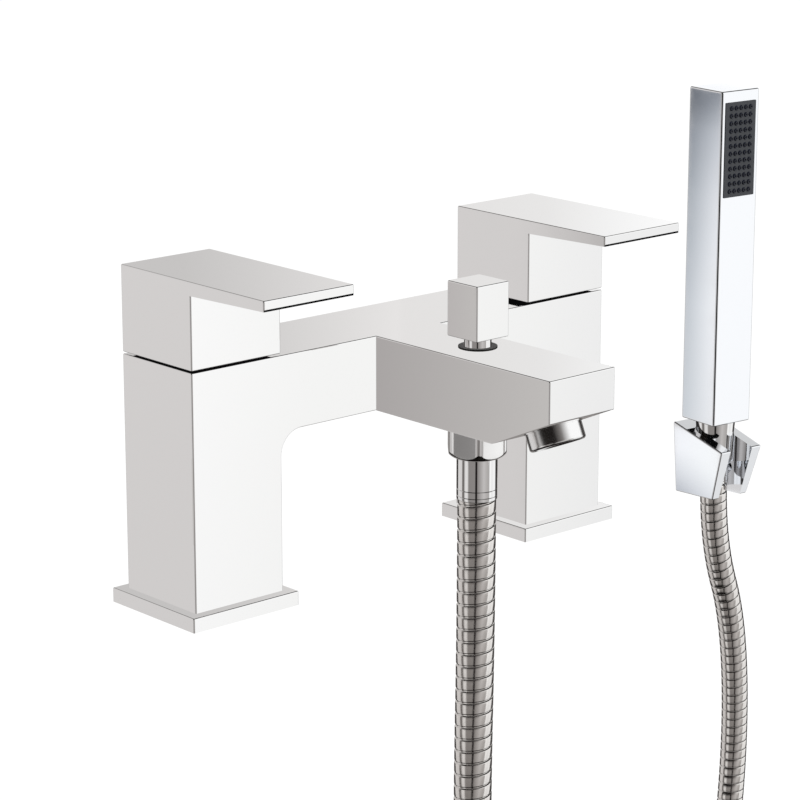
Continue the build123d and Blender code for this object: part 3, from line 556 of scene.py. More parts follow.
class MIXER_OT_outlet(bpy.types.Operator):
    """Forge the hose nut, press the hose's two ferrules and finish the rest of the outlet"""

    bl_idname = "mixer.outlet"
    bl_label = "Hose outlet and ferrules"

    def execute(self, context):
        finish_nodes(OUTLET_NODES)
        place = Matrix.Translation((0.0, DIVERTER_Y, NUT_LOW.z))
        nut = put_in_scene("outlet_nut", self.nut(context.scene.mixer_nut, place), "root", "hose_nut")
        shade_with_edges(nut, NUT_SHARP)
        sizes = context.scene.mixer_ferrules
        top = FERRULE_HIGH.z - FERRULE_LOW.z
        collar = [
            (sizes.neck_radius, top - sizes.collar_height),
            (sizes.collar_radius, top - sizes.collar_height),
            (sizes.collar_radius, top),
            (sizes.bore_radius, top),
        ]
        foot = (0.0, DIVERTER_Y, FERRULE_LOW.z)
        self.add_ferrule("mixer_ferrule", sizes, foot, NUT_LOW.z, collar, "root", "mixer_hose_ferrule")
        top = HANDSET_FERRULE_HIGH.z - HANDSET_FERRULE_LOW.z
        neck = [(sizes.neck_radius, top), (sizes.bore_radius, top)]
        foot = (HANDSET_X, HANDSET_Y, HANDSET_FERRULE_LOW.z)
        self.add_ferrule("handset_ferrule", sizes, foot, CONE_LOW.z, neck, "hose_end", "handset_hose_ferrule")
        return {"FINISHED"}

    def add_ferrule(self, name, sizes, foot, shell_top, head, body, node):
        """A pressed ferrule, from its foot up its shell to its head."""
        outline = self.shell(sizes, shell_top - foot[2]) + head
        mesh_builder = turned(outline, FERRULE_STEPS, Matrix.Translation(foot))
        shade_with_edges(put_in_scene(name, mesh_builder, body, node), RING_SHARP)

    def nut(self, sizes, place):
        """A bored hexagon with rounded upright corners and a round crown at its foot."""
        mesh_builder = bmesh.new()
        height = NUT_HIGH.z - NUT_LOW.z
        columns = []
        for spot in self.hexagon(sizes):
            reach = spot.length
            outward = spot / reach
            start = sizes.crown_start
            steepest = asin((reach - sizes.foot_radius) / sizes.crown + sin(start))
            outline = [(sizes.neck_radius, 0.0), (sizes.foot_radius, 0.0)]
            for step in range(1, CROWN_STEPS + 1):
                turn = start + (steepest - start) * step / CROWN_STEPS
                radius = sizes.foot_radius + sizes.crown * (sin(turn) - sin(start))
                outline.append((radius, sizes.crown * (cos(start) - cos(turn))))
            outline += [(reach, (outline[-1][1] + height) / 2), (reach, height)]
            outline += [(sizes.bore_radius, height), (sizes.bore_radius, sizes.floor)]
            outline.append((sizes.neck_radius, sizes.floor))
            corners = [outward * radius + Vector((0.0, 0.0, level)) for radius, level in outline]
            columns.append([mesh_builder.verts.new(place @ corner) for corner in corners])
        for column, ahead in zip(columns, columns[1:] + columns[:1]):
            for step in range(len(column)):
                onward = (step + 1) % len(column)
                mesh_builder.faces.new((column[step], ahead[step], ahead[onward], column[onward]))
        bmesh.ops.recalc_face_normals(mesh_builder, faces=mesh_builder.faces)
        return mesh_builder

    def hexagon(self, sizes):
        """Points round the nut, along each flat and round each corner."""
        inner = sizes.half_flats - sizes.corner
        half_side = inner / 3 ** 0.5
        spots = []
        for flat in range(6):
            facing = Matrix.Rotation(sizes.turn + pi / 3 * flat, 3, "Z")
            for step in range(FLAT_STEPS + 1):
                along = half_side * (2 * step / FLAT_STEPS - 1)
                spots.append(facing @ Vector((along, -sizes.half_flats, 0.0)))
            centre = Vector((half_side, -inner, 0.0))
            for step in range(1, CORNER_STEPS):
                turn = pi / 3 * step / CORNER_STEPS
                spots.append(facing @ (centre + Vector((sin(turn), -cos(turn), 0.0)) * sizes.corner))
        return spots

    def shell(self, sizes, length):
        """Outline from the bore at the mouth, up the outside with its crimp lines, to the neck."""
        reach = sizes.radius - sizes.edge
        outline = [(sizes.bore_radius, 0.0)] + round_corner(reach, sizes.edge, sizes.edge, -90, 0)
        for crimp in range(sizes.crimp_count):
            middle = sizes.crimp_height + sizes.crimp_pitch * crimp
            outline.append((sizes.radius, middle - sizes.crimp_depth))
            outline.append((sizes.radius - sizes.crimp_depth, middle))
            outline.append((sizes.radius, middle + sizes.crimp_depth))
        outline += round_corner(reach, length - sizes.edge, sizes.edge, 0, 90)
        return outline + [(sizes.neck_radius, length)]


class MIXER_OT_spout_nozzle(bpy.types.Operator):
    """Turn the round nozzle under the spout's tip and finish its insert and seal"""

    bl_idname = "mixer.spout_nozzle"
    bl_label = "Spout nozzle"

    def execute(self, context):
        finish_nodes(SPOUT_NOZZLE_NODES)
        sizes = context.scene.mixer_spout_nozzle
        mouth = -sizes.proud
        outline = [(sizes.bore_radius, mouth + sizes.lip), (sizes.bore_radius + sizes.lip, mouth)]
        outline += round_corner(sizes.radius - sizes.rim, mouth + sizes.rim, sizes.rim, -90, 0, 6)
        outline += [
            (sizes.radius, -sizes.flange),
            (sizes.radius + sizes.flange, -sizes.flange),
            (sizes.radius + sizes.flange, 0.0),
            (sizes.radius, 0.0),
            (sizes.radius, sizes.seat_depth),
            (sizes.bore_radius, sizes.seat_depth),
        ]
        slope = SLOPE_END - SLOPE_START
        inward = Vector((0.0, slope.z, -slope.y))
        tilt = inward.to_track_quat("Z", "X").to_matrix().to_4x4()
        place = Matrix.Translation((SLOPE_START + SLOPE_END) / 2) @ tilt
        ring = turned(outline, SPOUT_NOZZLE_STEPS, place)
        housing = put_in_scene("spout_nozzle", ring, "root", "aerator_housing")
        shade_with_edges(housing, RING_SHARP)
        return {"FINISHED"}


# One turn of the strip, from under one band to under the next: share of the pitch and of the groove's depth
BAND_PROFILE = [
    (0.000, 1.00),
    (0.018, 0.30),
    (0.045, 0.06),
    (0.080, 0.00),
    (0.800, 0.06),
    (0.862, 0.18),
    (0.905, 0.46),
    (0.928, 1.00),
]


def hose_line(route, resolution):
    """Points read along the smooth line that has the route as its control points."""
    curve = bpy.data.curves.new("hose_line", "CURVE")
    curve.dimensions = "3D"
    curve.resolution_u = resolution
    spline = curve.splines.new("NURBS")
    spline.points.add(len(route) - 1)
    for point, place in zip(spline.points, route):
        point.co = (*place, 1.0)
    spline.order_u = 3
    spline.use_endpoint_u = True
    holder = bpy.data.objects.new("hose_line", curve)
    bpy.context.scene.collection.objects.link(holder)
    graph = bpy.context.evaluated_depsgraph_get()
    mesh = bpy.data.meshes.new_from_object(holder.evaluated_get(graph))
    line = [vertex.co.copy() for vertex in mesh.vertices]
    bpy.data.objects.remove(holder)
    bpy.data.curves.remove(curve)
    bpy.data.meshes.remove(mesh)
    return line


def hose_stations(line, first_side):
    """Distance along, place, direction and a side direction without twist, at each point of the line."""
    stations = []
    along = 0.0
    side = Vector(first_side)
    for index, place in enumerate(line):
        ahead = line[min(index + 1, len(line) - 1)]
        behind = line[max(index - 1, 0)]
        direction = (ahead - behind).normalized()
        side = (side - direction * side.dot(direction)).normalized()
        if index:
            along += (place - line[index - 1]).length
        stations.append((along, place, direction, side))
    return stations


def place_on_hose(stations, starts, along, angle, radius):
    """A point at a distance along the hose, an angle round it and a radius from its line."""
    index = min(max(bisect_right(starts, along) - 1, 0), len(stations) - 2)
    start, place, direction, side = stations[index]
    end, next_place, next_direction, next_side = stations[index + 1]
    share = min(max((along - start) / (end - start), 0.0), 1.0)
    middle = place.lerp(next_place, share)
    forward = direction.lerp(next_direction, share).normalized()
    across = side.lerp(next_side, share)
    across = (across - forward * across.dot(forward)).normalized()
    up = forward.cross(across)
    return middle + (across * cos(angle) + up * sin(angle)) * radius


class MIXER_OT_hose(bpy.types.Operator):
    """Wind the interlocked strip along the hose's line"""

    bl_idname = "mixer.hose"
    bl_label = "Shower hose"

    def execute(self, context):
        sizes = context.scene.mixer_hose
        studio = context.scene.mixer_studio
        line = hose_line(HOSE_ROUTE, ROUTE_STEPS)
        first_side = (cos(studio.camera_azimuth), -sin(studio.camera_azimuth), 0.0)
        stations = hose_stations(line, first_side)
        starts = [station[0] for station in stations]
        whole = starts[-1]
        turns = round(whole / sizes.band_pitch) + 1
        pitch = whole / (turns - 1)
        outer = sizes.diameter / 2
        mesh_builder = bmesh.new()
        rows = []
        for share, depth in BAND_PROFILE:
            row = []
            for step in range((turns + 1) * sizes.sides):
                along = pitch * (step / sizes.sides - 1 + share)
                inside = 0.0 < along < whole
                radius = outer - sizes.groove_depth * (depth if inside else 0.0)
                along = min(max(along, 0.0), whole)
                angle = 2 * pi * step / sizes.sides
                row.append(mesh_builder.verts.new(place_on_hose(stations, starts, along, angle, radius)))
            rows.append(row)
        count = len(rows[0])
        for row, below in zip(rows, rows[1:]):
            for step in range(count - 1):
                mesh_builder.faces.new((row[step], below[step], below[step + 1], row[step + 1]))
        for step in range(count - 1 - sizes.sides):
            top = rows[0]
            last = rows[-1]
            ahead = step + sizes.sides
            mesh_builder.faces.new((last[step], top[ahead], top[ahead + 1], last[step + 1]))
        bmesh.ops.remove_doubles(mesh_builder, verts=mesh_builder.verts, dist=MERGE_WITHIN)
        bmesh.ops.dissolve_degenerate(mesh_builder, edges=mesh_builder.edges, dist=MERGE_WITHIN)
        bmesh.ops.holes_fill(mesh_builder, edges=mesh_builder.edges, sides=0)
        bmesh.ops.recalc_face_normals(mesh_builder, faces=mesh_builder.faces)
        hose = put_in_scene("interlock_hose", mesh_builder, None, "shower_hose", "hose_liner")
        hose.data.shade_smooth()
        hose.data.set_sharp_from_angle(angle=HOSE_SHARP)
        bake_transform(hose)
        return {"FINISHED"}


class MIXER_OT_handset(bpy.types.Operator):
    """Finish the handset and mould its rubber spray nozzles"""

    bl_idname = "mixer.handset"
    bl_label = "Handset"

    def execute(self, context):
        finish_nodes(HANDSET_NODES, mirrored=True)
        sizes = context.scene.mixer_spray_nozzles
        outline = [(sizes.hole_radius, -sizes.root), (sizes.radius, -sizes.root), (sizes.radius, 0.0)]
        tip = sizes.tip_radius - sizes.edge
        outline += round_corner(tip, sizes.height - sizes.edge, sizes.edge, 10, 90, 3)
        outline.append((sizes.hole_radius, sizes.height - sizes.edge))
        upright = Matrix.Rotation(pi / 2, 4, "X")
        places = self.nozzle_places(sizes)
        place = Matrix.Translation(places[0]) @ HANDSET_FRAME.to_3x3().to_4x4() @ upright
        nozzles = turned(outline, SPRAY_NOZZLE_STEPS, place)
        first = nozzles.verts[:] + nozzles.edges[:] + nozzles.faces[:]
        for spot in places[1:]:
            copy = bmesh.ops.duplicate(nozzles, geom=first)["geom"]
            verts = [item for item in copy if isinstance(item, bmesh.types.BMVert)]
            bmesh.ops.translate(nozzles, verts=verts, vec=spot - places[0])
        piece = put_in_scene("rubber_nozzles", nozzles, "handset", "spray_nozzles")
        shade_with_edges(piece, NOZZLES_SHARP)
        return {"FINISHED"}

    def nozzle_places(self, sizes):
        """The foot of every nozzle on the spray plate's face."""
        middle = (PLATE_LOW.z + PLATE_HIGH.z) / 2
        places = []
        for column in range(sizes.columns):
            for row in range(sizes.rows):
                across = (column - (sizes.columns - 1) / 2) * sizes.pitch_across
                height = middle + (row - (sizes.rows - 1) / 2) * sizes.pitch_down
                places.append(HANDSET_FRAME @ Vector((across, -PLATE_FACE, height)))
        return places


class MIXER_OT_bracket(bpy.types.Operator):
    """Finish the wall bracket"""

    bl_idname = "mixer.bracket"
    bl_label = "Wall bracket"

    def execute(self, context):
        finish_nodes(BRACKET_NODES, mirrored=True)
        return {"FINISHED"}


def upright_sheet(left, right, low, high):
    """Corners of an upright sheet between two places on the plan, from its top left round."""
    return [Vector((*left, high)), Vector((*right, high)), Vector((*right, low)), Vector((*left, low))]


def level_sheet(left, right, front, back, level):
    """Corners of a level sheet, from its far left round."""
    return [Vector((x, y, level)) for x, y in ((left, back), (right, back), (right, front), (left, front))]


def painted_reflection_card(name, corners, material):
    """A glowing card that only mirrors see, for a painted reflection or painted shade, from its top left
    corner round, as the camera sees it.
    """
    mesh_builder = bmesh.new()
    face = mesh_builder.faces.new([mesh_builder.verts.new(corner) for corner in corners])
    sheet = mesh_builder.loops.layers.uv.new("card")
    for loop, place in zip(face.loops, ((0.0, 1.0), (1.0, 1.0), (1.0, 0.0), (0.0, 0.0))):
        loop[sheet].uv = place
    bmesh.ops.subdivide_edges(mesh_builder, edges=mesh_builder.edges, cuts=CARD_CUTS, use_grid_fill=True)
    card = link_mesh(name, mesh_builder)
    coat(card, material)
    card.visible_camera = False
    card.visible_diffuse = False
    card.visible_transmission = False
    card.visible_shadow = False


def painted_reflection_material(name, left_stops, right_stops, strength):
    """A glowing card for a painted reflection or painted shade, graded from its foot up along its left and
    its right side and between the two.
    """
    material, tree = empty_material(name)
    place = add_node(tree, "ShaderNodeTexCoord").outputs["UV"]
    parts = add_node(tree, "ShaderNodeSeparateXYZ", links={"Vector": place}).outputs
    sides = []
    for stops in (left_stops, right_stops):
        side = add_node(tree, "ShaderNodeValToRGB", {"stops": stops}, {"Fac": parts["Y"]})
        sides.append(side.outputs["Color"])
    links = {0: parts["X"], 6: sides[0], 7: sides[1]}
    blend = add_node(tree, "ShaderNodeMix", {"data_type": "RGBA"}, links)
    glow = add_node(tree, "ShaderNodeEmission", {"Strength": strength}, {"Color": blend.outputs[2]})
    add_node(tree, "ShaderNodeOutputMaterial", links={"Surface": glow.outputs["Emission"]})
    return material


def painted_reflection_on_face(camera_place, name, corners, normal, plane, left_stops, right_stops, plane_normal=None):
    """A painted reflection: a card on a plane, placed where the camera sees it mirrored in a flat face, from
    the face's top left round.
    """
    places = []
    for corner in corners:
        onward = (corner - camera_place).reflect(normal)
        places.append(intersect_line_plane(corner, corner + onward, plane, plane_normal or normal))
    painted_reflection_card(name, places, painted_reflection_material(name, left_stops, right_stops, PAINTED_REFLECTION_GLOW))


class MIXER_OT_painted_reflections(bpy.types.Operator):
    """Stand glowing grey cards and black flags where the polished faces mirror them: painted reflections and
    painted shade
    """

    bl_idname = "mixer.cards"
    bl_label = "Cards and flags"

    def execute(self, context):
        camera_place = Vector(context.scene.mixer_studio.camera_place)
        self.paint_spout_reflection(camera_place)
        self.paint_knob_reflection(camera_place)
        self.paint_nut_reflections(camera_place)
        self.paint_handset_reflection(camera_place)
        self.paint_bracket_reflection(camera_place)
        self.paint_top_reflection(camera_place)
        self.paint_shade_flags(camera_place)
        return {"FINISHED"}

    def paint_spout_reflection(self, camera_place):
        """Painted reflection on the spout's left side: a grey card on the bridge's front stands in for that
        shaded front, which is kept out of mirrors.
        """
        left = -SPOUT_HALF
        corners = upright_sheet((left, BRIDGE_FRONT), (left, SLOPE_END.y), SLOPE_START.z, CASTING_HIGH.z)
        plane = Vector((0.0, BRIDGE_FRONT + CARD_INSET, 0.0))
        stops = [(0.0, "#A9A5A4")], [(0.0, "#BEBBB9")]
        forward = Vector((0.0, 1.0, 0.0))
        painted_reflection_on_face(camera_place, "painted_reflection_beside_spout", corners, LEFTWARD, plane, *stops, forward)

    def paint_knob_reflection(self, camera_place):
        """Painted reflection on the knob's left side, a darker grey than the levers mirror."""
        left = KNOB_LOW.x
        corners = upright_sheet((left, KNOB_HIGH.y), (left, KNOB_LOW.y), KNOB_LOW.z, KNOB_HIGH.z)
        plane = Vector((left - KNOB_CARD_AWAY, 0.0, 0.0))
        stops = [(0.0, "#B7B3B2")], [(0.0, "#BDBAB8")]
        painted_reflection_on_face(camera_place, "painted_reflection_beside_knob", corners, LEFTWARD, plane, *stops)

    def paint_nut_reflections(self, camera_place):
        """Painted reflections on the two faces of the hose nut by its near corner: a mid grey and a white."""
        for name, turn, left_colour, right_colour in (
            ("painted_reflection_left_of_nut", NUT_LEFT_TURN, "#7C7A79", "#868483"),
            ("painted_reflection_right_of_nut", NUT_RIGHT_TURN, "#E6E5E4", "#F8F8F7"),
        ):
            facing = Matrix.Rotation(turn, 3, "Z")
            sideways = facing @ Vector((0.0, -1.0, 0.0))
            across = facing @ Vector((NUT_HALF_CORNERS / 2, 0.0, 0.0))
            middle = Vector((0.0, DIVERTER_Y, 0.0)) + sideways * NUT_HALF_FLATS
            corners = upright_sheet((middle - across).xy, (middle + across).xy, NUT_LOW.z, NUT_HIGH.z)
            plane = middle + sideways * NUT_CARD_AWAY
            stops = [(0.0, left_colour)], [(0.0, right_colour)]
            painted_reflection_on_face(camera_place, name, corners, sideways, plane, *stops)

    def paint_handset_reflection(self, camera_place):
        """Painted reflection on the handset's left side: bluish grey, darker towards its top, fading to white
        at its lower right.
        """
        half = HANDSET_HALF
        self.paint_inset_reflection(
            camera_place,
            "painted_reflection_beside_handset",
            upright_sheet((-half, half), (-half, -half), SHELL_LOW.z, SHELL_HIGH.z),
            [(0.0, "#C6CBCF"), (0.35, "#BCC1C6"), (0.68, "#9FA5AB"), (0.86, "#858A92"), (0.95, "#62676E")],
            [(0.0, "#EDEDEE"), (0.35, "#F6F6F7"), (0.68, "#E6E7EA"), (0.88, "#C6C9CE"), (1.0, "#858991")],
        )

    def paint_bracket_reflection(self, camera_place):
        """Painted reflection on the bracket's left side, which leans inwards to its foot: white, greying
        towards its lower left.
        """
        top = -BRACKET_HALF_TOP
        foot = -BRACKET_HALF_FOOT
        corners = [
            Vector((top, BRACKET_BACK, BRACKET_HIGH.z)),
            Vector((top, BRACKET_FRONT, BRACKET_HIGH.z)),
            Vector((foot, BRACKET_FRONT, BRACKET_LOW.z)),
            Vector((foot, BRACKET_BACK, BRACKET_LOW.z)),
        ]
        left_stops = [(0.0, "#A9ADB5"), (0.3, "#D5D7DB"), (0.7, "#F4F4F6")]
        right_stops = [(0.0, "#E2E3E6"), (0.5, "#F8F9F8")]
        self.paint_inset_reflection(camera_place, "painted_reflection_beside_bracket", corners, left_stops, right_stops)

    def paint_inset_reflection(self, camera_place, name, corners, left_stops, right_stops):
        """A painted reflection on a left face of the handset or the bracket."""
        corners = [HANDSET_FRAME @ corner for corner in corners]
        sideways = (corners[1] - corners[0]).cross(corners[1] - corners[2]).normalized()
        plane = corners[0] + sideways * HANDSET_CARD_AWAY
        painted_reflection_on_face(camera_place, name, corners, sideways, plane, left_stops, right_stops)

    def paint_top_reflection(self, camera_place):
        """Painted reflection on the handset's top: white."""
        half = HANDSET_HALF
        corners = [HANDSET_FRAME @ corner for corner in level_sheet(-half, half, -half, half, SHELL_HIGH.z)]
        upward = Vector((0.0, 0.0, 1.0))
        plane = corners[0] + upward * TOP_CARD_AWAY
        stops = [(0.0, "#EDEEF0")], [(0.0, "#FAFAFB")]
        painted_reflection_on_face(camera_place, "painted_reflection_over_handset", corners, upward, plane, *stops)

    def paint_shade_flags(self, camera_place):
        """Black flags, painted shade seen mirrored: before the handset's near edge, under each lever's block
        and before its tip.
        """
        black = painted_reflection_material("painted_shade_black", [(0.0, "#0A0A0B")], [(0.0, "#0A0A0B")], 1.0)
        edge = HANDSET_FRAME @ Vector((-HANDSET_HALF, -HANDSET_HALF, 0.0))
        toward = camera_place - edge
        toward.z = 0.0
        toward.normalize()
        span = Vector((-toward.y, toward.x, 0.0)) * FLAG_HALF_WIDTH
        middle = edge + toward * FLAG_AWAY
        foot = SHELL_LOW.z - FLAG_BELOW
        corners = upright_sheet((middle - span).xy, (middle + span).xy, foot, SHELL_HIGH.z)
        painted_reflection_card("painted_shade_before_handset", corners, black)
        for side in SIDES:
            low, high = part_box(side + "_lever_handle")
            corners = level_sheet(low.x, high.x, BRIDGE_FRONT, high.y, low.z + CARD_INSET)
            painted_reflection_card("painted_shade_under_" + side + "_lever", corners, black)
            front = low.y - CARD_INSET
            edge = high.z - TIP_THICKNESS
            near = (low.x - CARD_INSET, front)
            far = (high.x + CARD_INSET, front)
            corners = upright_sheet(near, far, edge - CARD_INSET, edge + TIP_FLAG_HEIGHT)
            painted_reflection_card("painted_shade_before_" + side + "_lever", corners, black)


# The lens: its sensor's width in millimetres, and the nearest and farthest that it sees
SENSOR_WIDTH = 36.0
LENS_NEAR = 0.01
LENS_FAR = 60.0

# The floor's own light, and the share of it that the camera sees in place of its paper
FLOOR_GLOW = 1.08
FLOOR_GLOW_SHARE = 0.86

# Name, place, side in metres and power in watts: a large one above, and a weaker one from the user's right
SOFT_BOXES = [
    ("overhead_softbox", (-0.3, -0.4, 1.9), 1.6, 22.0),
    ("side_softbox", (1.6, -1.4, 0.9), 1.2, 12.0),
]
LAMP_TARGET = (0.1, 0.0, 0.0)

# What pieces that aren't polished see all round
MATT_PIECES_SEE = "#EBEBEB"


class MIXER_OT_studio(bpy.types.Operator):
    """Set the floor, the soft light and the camera"""

    bl_idname = "mixer.studio"
    bl_label = "Studio"

    def execute(self, context):
        settings = context.scene.mixer_studio
        turn = settings.camera_azimuth
        pitch = settings.camera_pitch
        view = Vector((sin(turn) * cos(pitch), cos(turn) * cos(pitch), -sin(pitch)))
        self.add_camera(context, settings, view)
        self.add_floor(settings)
        self.add_lamps(context)
        self.add_surroundings(context, turn)
        context.scene.view_settings.view_transform = "Standard"
        return {"FINISHED"}

    def add_camera(self, context, settings, view):
        """The photo's view, with a lens on a sensor of full format."""
        lens = bpy.data.cameras.new("photo_view")
        lens.sensor_width = SENSOR_WIDTH
        lens.lens = settings.focal_length
        lens.clip_start = LENS_NEAR
        lens.clip_end = LENS_FAR
        context.scene.camera = self.add_aimed(context, lens, settings.camera_place, view)

    def add_aimed(self, context, data, place, direction):
        """A camera or lamp that looks along a direction."""
        holder = bpy.data.objects.new(data.name, data)
        holder.location = place
        holder.rotation_mode = "QUATERNION"
        holder.rotation_quaternion = direction.to_track_quat("-Z", "Y")
        context.scene.collection.objects.link(holder)
        return holder

    def add_floor(self, settings):
        """A pale floor that is white to the camera but keeps a soft shadow."""
        material, tree, shader = start_material("matt_paper_floor", tint("#F4F4F4"), 0.0, 0.9)
        tree.nodes.remove(tree.nodes["Material Output"])
        rays = add_node(tree, "ShaderNodeLightPath").outputs["Is Camera Ray"]
        glow = add_node(tree, "ShaderNodeEmission", {"Color": tint("#FFFFFF"), "Strength": FLOOR_GLOW})
        amount = add_node(tree, "ShaderNodeMath", {"operation": "MULTIPLY", 1: FLOOR_GLOW_SHARE}, {0: rays})
        links = {0: amount.outputs["Value"], 1: shader.outputs["BSDF"], 2: glow.outputs["Emission"]}
        blend = add_node(tree, "ShaderNodeMixShader", links=links)
        add_node(tree, "ShaderNodeOutputMaterial", links={"Surface": blend.outputs["Shader"]})
        mesh_builder = bmesh.new()
        bmesh.ops.create_grid(mesh_builder, x_segments=2, y_segments=2, size=settings.floor_side / 2)
        level = HOSE_LOW.z - settings.floor_gap
        bmesh.ops.translate(mesh_builder, verts=mesh_builder.verts, vec=(0.0, 0.0, level))
        floor = link_mesh("studio_floor", mesh_builder)
        coat(floor, material)
        floor.visible_glossy = False

    def add_lamps(self, context):
        """Two soft boxes, aimed at the mixer and kept out of mirrors."""
        for name, place, side, power in SOFT_BOXES:
            light = bpy.data.lights.new(name, "AREA")
            light.size = side
            light.energy = power
            lamp = self.add_aimed(context, light, place, Vector(LAMP_TARGET) - Vector(place))
            lamp.visible_glossy = False

    def add_surroundings(self, context, turn):
        """White to the camera, a soft grey to matt pieces, and bright and dark panels to mirrors."""
        world = bpy.data.worlds.new("studio_surroundings")
        world.use_nodes = True
        context.scene.world = world
        tree = world.node_tree
        tree.nodes.clear()
        place = add_node(tree, "ShaderNodeTexCoord").outputs["Generated"]
        level = add_node(tree, "ShaderNodeSeparateXYZ", links={"Vector": place}).outputs["Z"]
        parts = []
        for direction in ((cos(turn), -sin(turn), 0.0), (-sin(turn), -cos(turn), 0.0)):
            dot = {"operation": "DOT_PRODUCT", 1: direction}
            part = add_node(tree, "ShaderNodeVectorMath", dot, {0: place})
            parts.append(part.outputs["Value"])
        angle = add_node(tree, "ShaderNodeMath", {"operation": "ARCTAN2"}, {0: parts[0], 1: parts[1]})
        limits = {"From Min": -pi, "From Max": pi}
        share = add_node(tree, "ShaderNodeMapRange", limits, {"Value": angle.outputs["Value"]})
        rings = []
        for panels in (PANELS_AROUND, PANELS_ABOVE):
            stops = {"stops": [(degrees / 360 + 0.5, grey) for degrees, grey in panels]}
            ring = add_node(tree, "ShaderNodeValToRGB", stops, {"Fac": share.outputs["Result"]})
            rings.append(ring.outputs["Color"])
        limits = {"From Min": sin(radians(ABOVE_STARTS)), "From Max": sin(radians(ABOVE_WHOLE))}
        rise = add_node(tree, "ShaderNodeMapRange", limits, {"Value": level}).outputs["Result"]
        panels = add_node(tree, "ShaderNodeMix", {"data_type": "RGBA"}, {0: rise, 6: rings[0], 7: rings[1]})
        height = add_node(tree, "ShaderNodeMapRange", {"From Min": -1.0, "From Max": 1.0}, {"Value": level})
        stops = {"stops": [(sin(radians(degrees)) / 2 + 0.5, grey) for degrees, grey in PANELS_UPWARD]}
        upward = add_node(tree, "ShaderNodeValToRGB", stops, {"Fac": height.outputs["Result"]})
        settings = {"data_type": "RGBA", "blend_type": "MULTIPLY", 0: 1.0}
        links = {6: panels.outputs[2], 7: upward.outputs["Color"]}
        mirrored = add_node(tree, "ShaderNodeMix", settings, links)
        rays = add_node(tree, "ShaderNodeLightPath")
        in_mirrors = rays.outputs["Is Glossy Ray"]
        settings = {"data_type": "RGBA", 6: tint(MATT_PIECES_SEE)}
        to_pieces = add_node(tree, "ShaderNodeMix", settings, {0: in_mirrors, 7: mirrored.outputs[2]})
        settings = {"data_type": "RGBA", 7: tint("#FFFFFF")}
        links = {0: rays.outputs["Is Camera Ray"], 6: to_pieces.outputs[2]}
        to_all = add_node(tree, "ShaderNodeMix", settings, links)
        settings = {"operation": "MULTIPLY_ADD", 1: MIRROR_GLOW - 1.0, 2: 1.0}
        glow = add_node(tree, "ShaderNodeMath", settings, {0: in_mirrors})
        links = {"Color": to_all.outputs[2], "Strength": glow.outputs["Value"]}
        background = add_node(tree, "ShaderNodeBackground", links=links)
        add_node(tree, "ShaderNodeOutputWorld", links={"Surface": background.outputs["Background"]})


# What polished metal mirrors, by angle in degrees: 0 is the camera's side, positive to its right
PANELS_AROUND = [
    (-180.0, "#8A8684"),
    (-162.0, "#8A8684"),
    (-151.0, "#2E2B2A"),
    (-136.0, "#2E2B2A"),
    (-128.0, "#DCDAD9"),
    (-97.0, "#D4D1D0"),
    (-93.5, "#D4D1D0"),
    (-91.0, "#6E6A68"),
    (-80.0, "#6E6A68"),
    (-70.0, "#E2E0DF"),
    (-56.0, "#E2E0DF"),
    (-48.0, "#8A8684"),
    (-12.0, "#8C8886"),
    (-9.0, "#1C1918"),
    (-1.0, "#1C1918"),
    (2.0, "#8A8684"),
    (38.0, "#C4C1C0"),
    (58.0, "#B4B1AF"),
    (71.0, "#ABA8A7"),
    (76.0, "#FFFFFF"),
    (79.4, "#FFFFFF"),
    (81.0, "#FAFAF9"),
    (85.4, "#F9F9F8"),
    (86.6, "#F2F2F2"),
    (96.0, "#F0F0F0"),
    (118.0, "#FFFFFF"),
    (130.0, "#3A3736"),
    (150.0, "#3A3736"),
    (163.0, "#8A8684"),
    (180.0, "#8A8684"),
]

# The same above the horizon, where level tops and the tilted spout nozzle look
PANELS_ABOVE = [
    (-180.0, "#E6E4E3"),
    (-178.6, "#DBD9D8"),
    (-177.3, "#D0CECD"),
    (-175.8, "#C5C3C2"),
    (-94.0, "#D2CFCE"),
    (-84.0, "#15120F"),
    (-8.0, "#1C1918"),
    (22.0, "#7A7674"),
    (60.0, "#FFFFFF"),
    (76.0, "#FFFFFF"),
    (118.0, "#FFFFFF"),
    (127.0, "#3A3736"),
    (148.0, "#3A3736"),
    (160.0, "#E2E2E1"),
    (174.2, "#FFFFFF"),
    (175.6, "#F4F4F4"),
    (176.5, "#EAE9E9"),
    (177.5, "#E4E3E2"),
    (180.0, "#E3E1E0"),
]

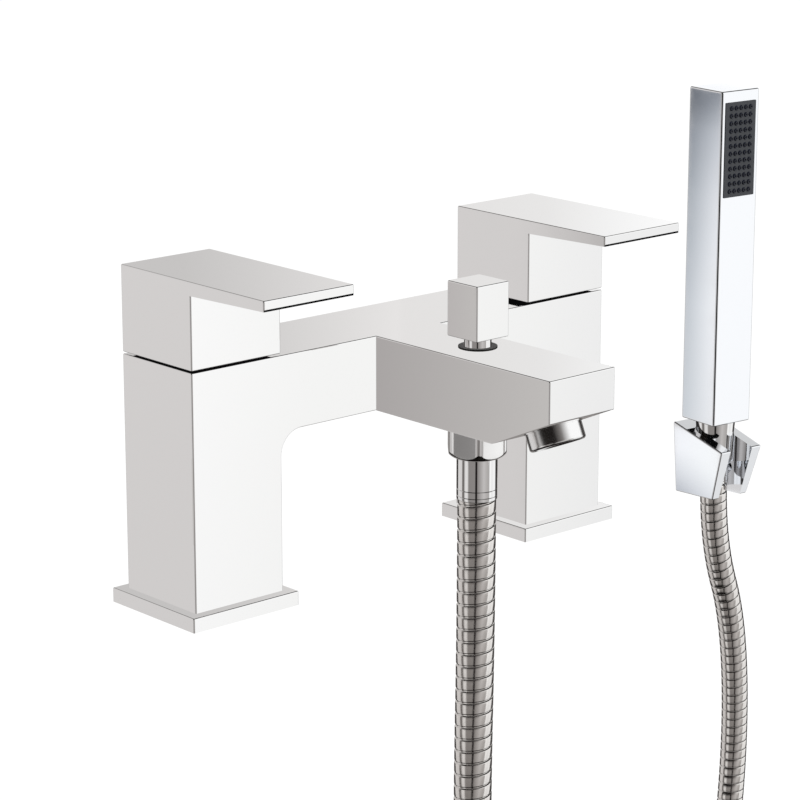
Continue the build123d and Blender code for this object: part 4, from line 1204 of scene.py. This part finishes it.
# The heights in degrees between which the second list takes over from the first
ABOVE_STARTS = -10.0
ABOVE_WHOLE = -3.0

# How much of that reaches the eye from each height in degrees above the horizon
PANELS_UPWARD = [
    (-90, "#2A2826"),
    (-50, "#1E1C1B"),
    (-44, "#F0F0F0"),
    (-12, "#FFFFFF"),
    (32, "#FFFFFF"),
    (42, "#3A3836"),
    (60, "#4A4846"),
    (90, "#C8C7C6"),
]


class MIXER_PT_pieces(bpy.types.Panel):
    """The mixer's pieces and stage in the sidebar"""

    bl_label = "Bath Shower Mixer"
    bl_space_type = "VIEW_3D"
    bl_region_type = "UI"
    bl_category = "Mixer"

    def draw(self, context):
        for operator in OPERATORS:
            self.layout.operator(operator.bl_idname)
        for holder in GROUPS:
            group = getattr(context.scene, holder)
            box = self.layout.box()
            for name in group.__annotations__:
                box.prop(group, name)


GROUPS = {
    "mixer_finishes": MixerFinishes,
    "mixer_nut": NutSizes,
    "mixer_ferrules": FerruleSizes,
    "mixer_spout_nozzle": SpoutNozzleSizes,
    "mixer_hose": HoseSizes,
    "mixer_spray_nozzles": SprayNozzleSizes,
    "mixer_studio": StudioSettings,
}
OPERATORS = [
    MIXER_OT_body,
    MIXER_OT_levers,
    MIXER_OT_diverter,
    MIXER_OT_outlet,
    MIXER_OT_spout_nozzle,
    MIXER_OT_hose,
    MIXER_OT_handset,
    MIXER_OT_bracket,
    MIXER_OT_studio,
    MIXER_OT_painted_reflections,
]


def register():
    """Register the settings, operators and panel."""
    for cls in (*GROUPS.values(), *OPERATORS, MIXER_PT_pieces):
        bpy.utils.register_class(cls)
    for name, group in GROUPS.items():
        setattr(bpy.types.Scene, name, bpy.props.PointerProperty(type=group))


def unregister():
    """Remove them again."""
    for name in GROUPS:
        delattr(bpy.types.Scene, name)
    for cls in (MIXER_PT_pieces, *reversed(OPERATORS), *reversed(list(GROUPS.values()))):
        bpy.utils.unregister_class(cls)


def main():
    """Make every piece and the stage."""
    register()
    for operator in OPERATORS:
        family, name = operator.bl_idname.split(".")
        getattr(getattr(bpy.ops, family), name)()


if __name__ == "__main__":
    main()
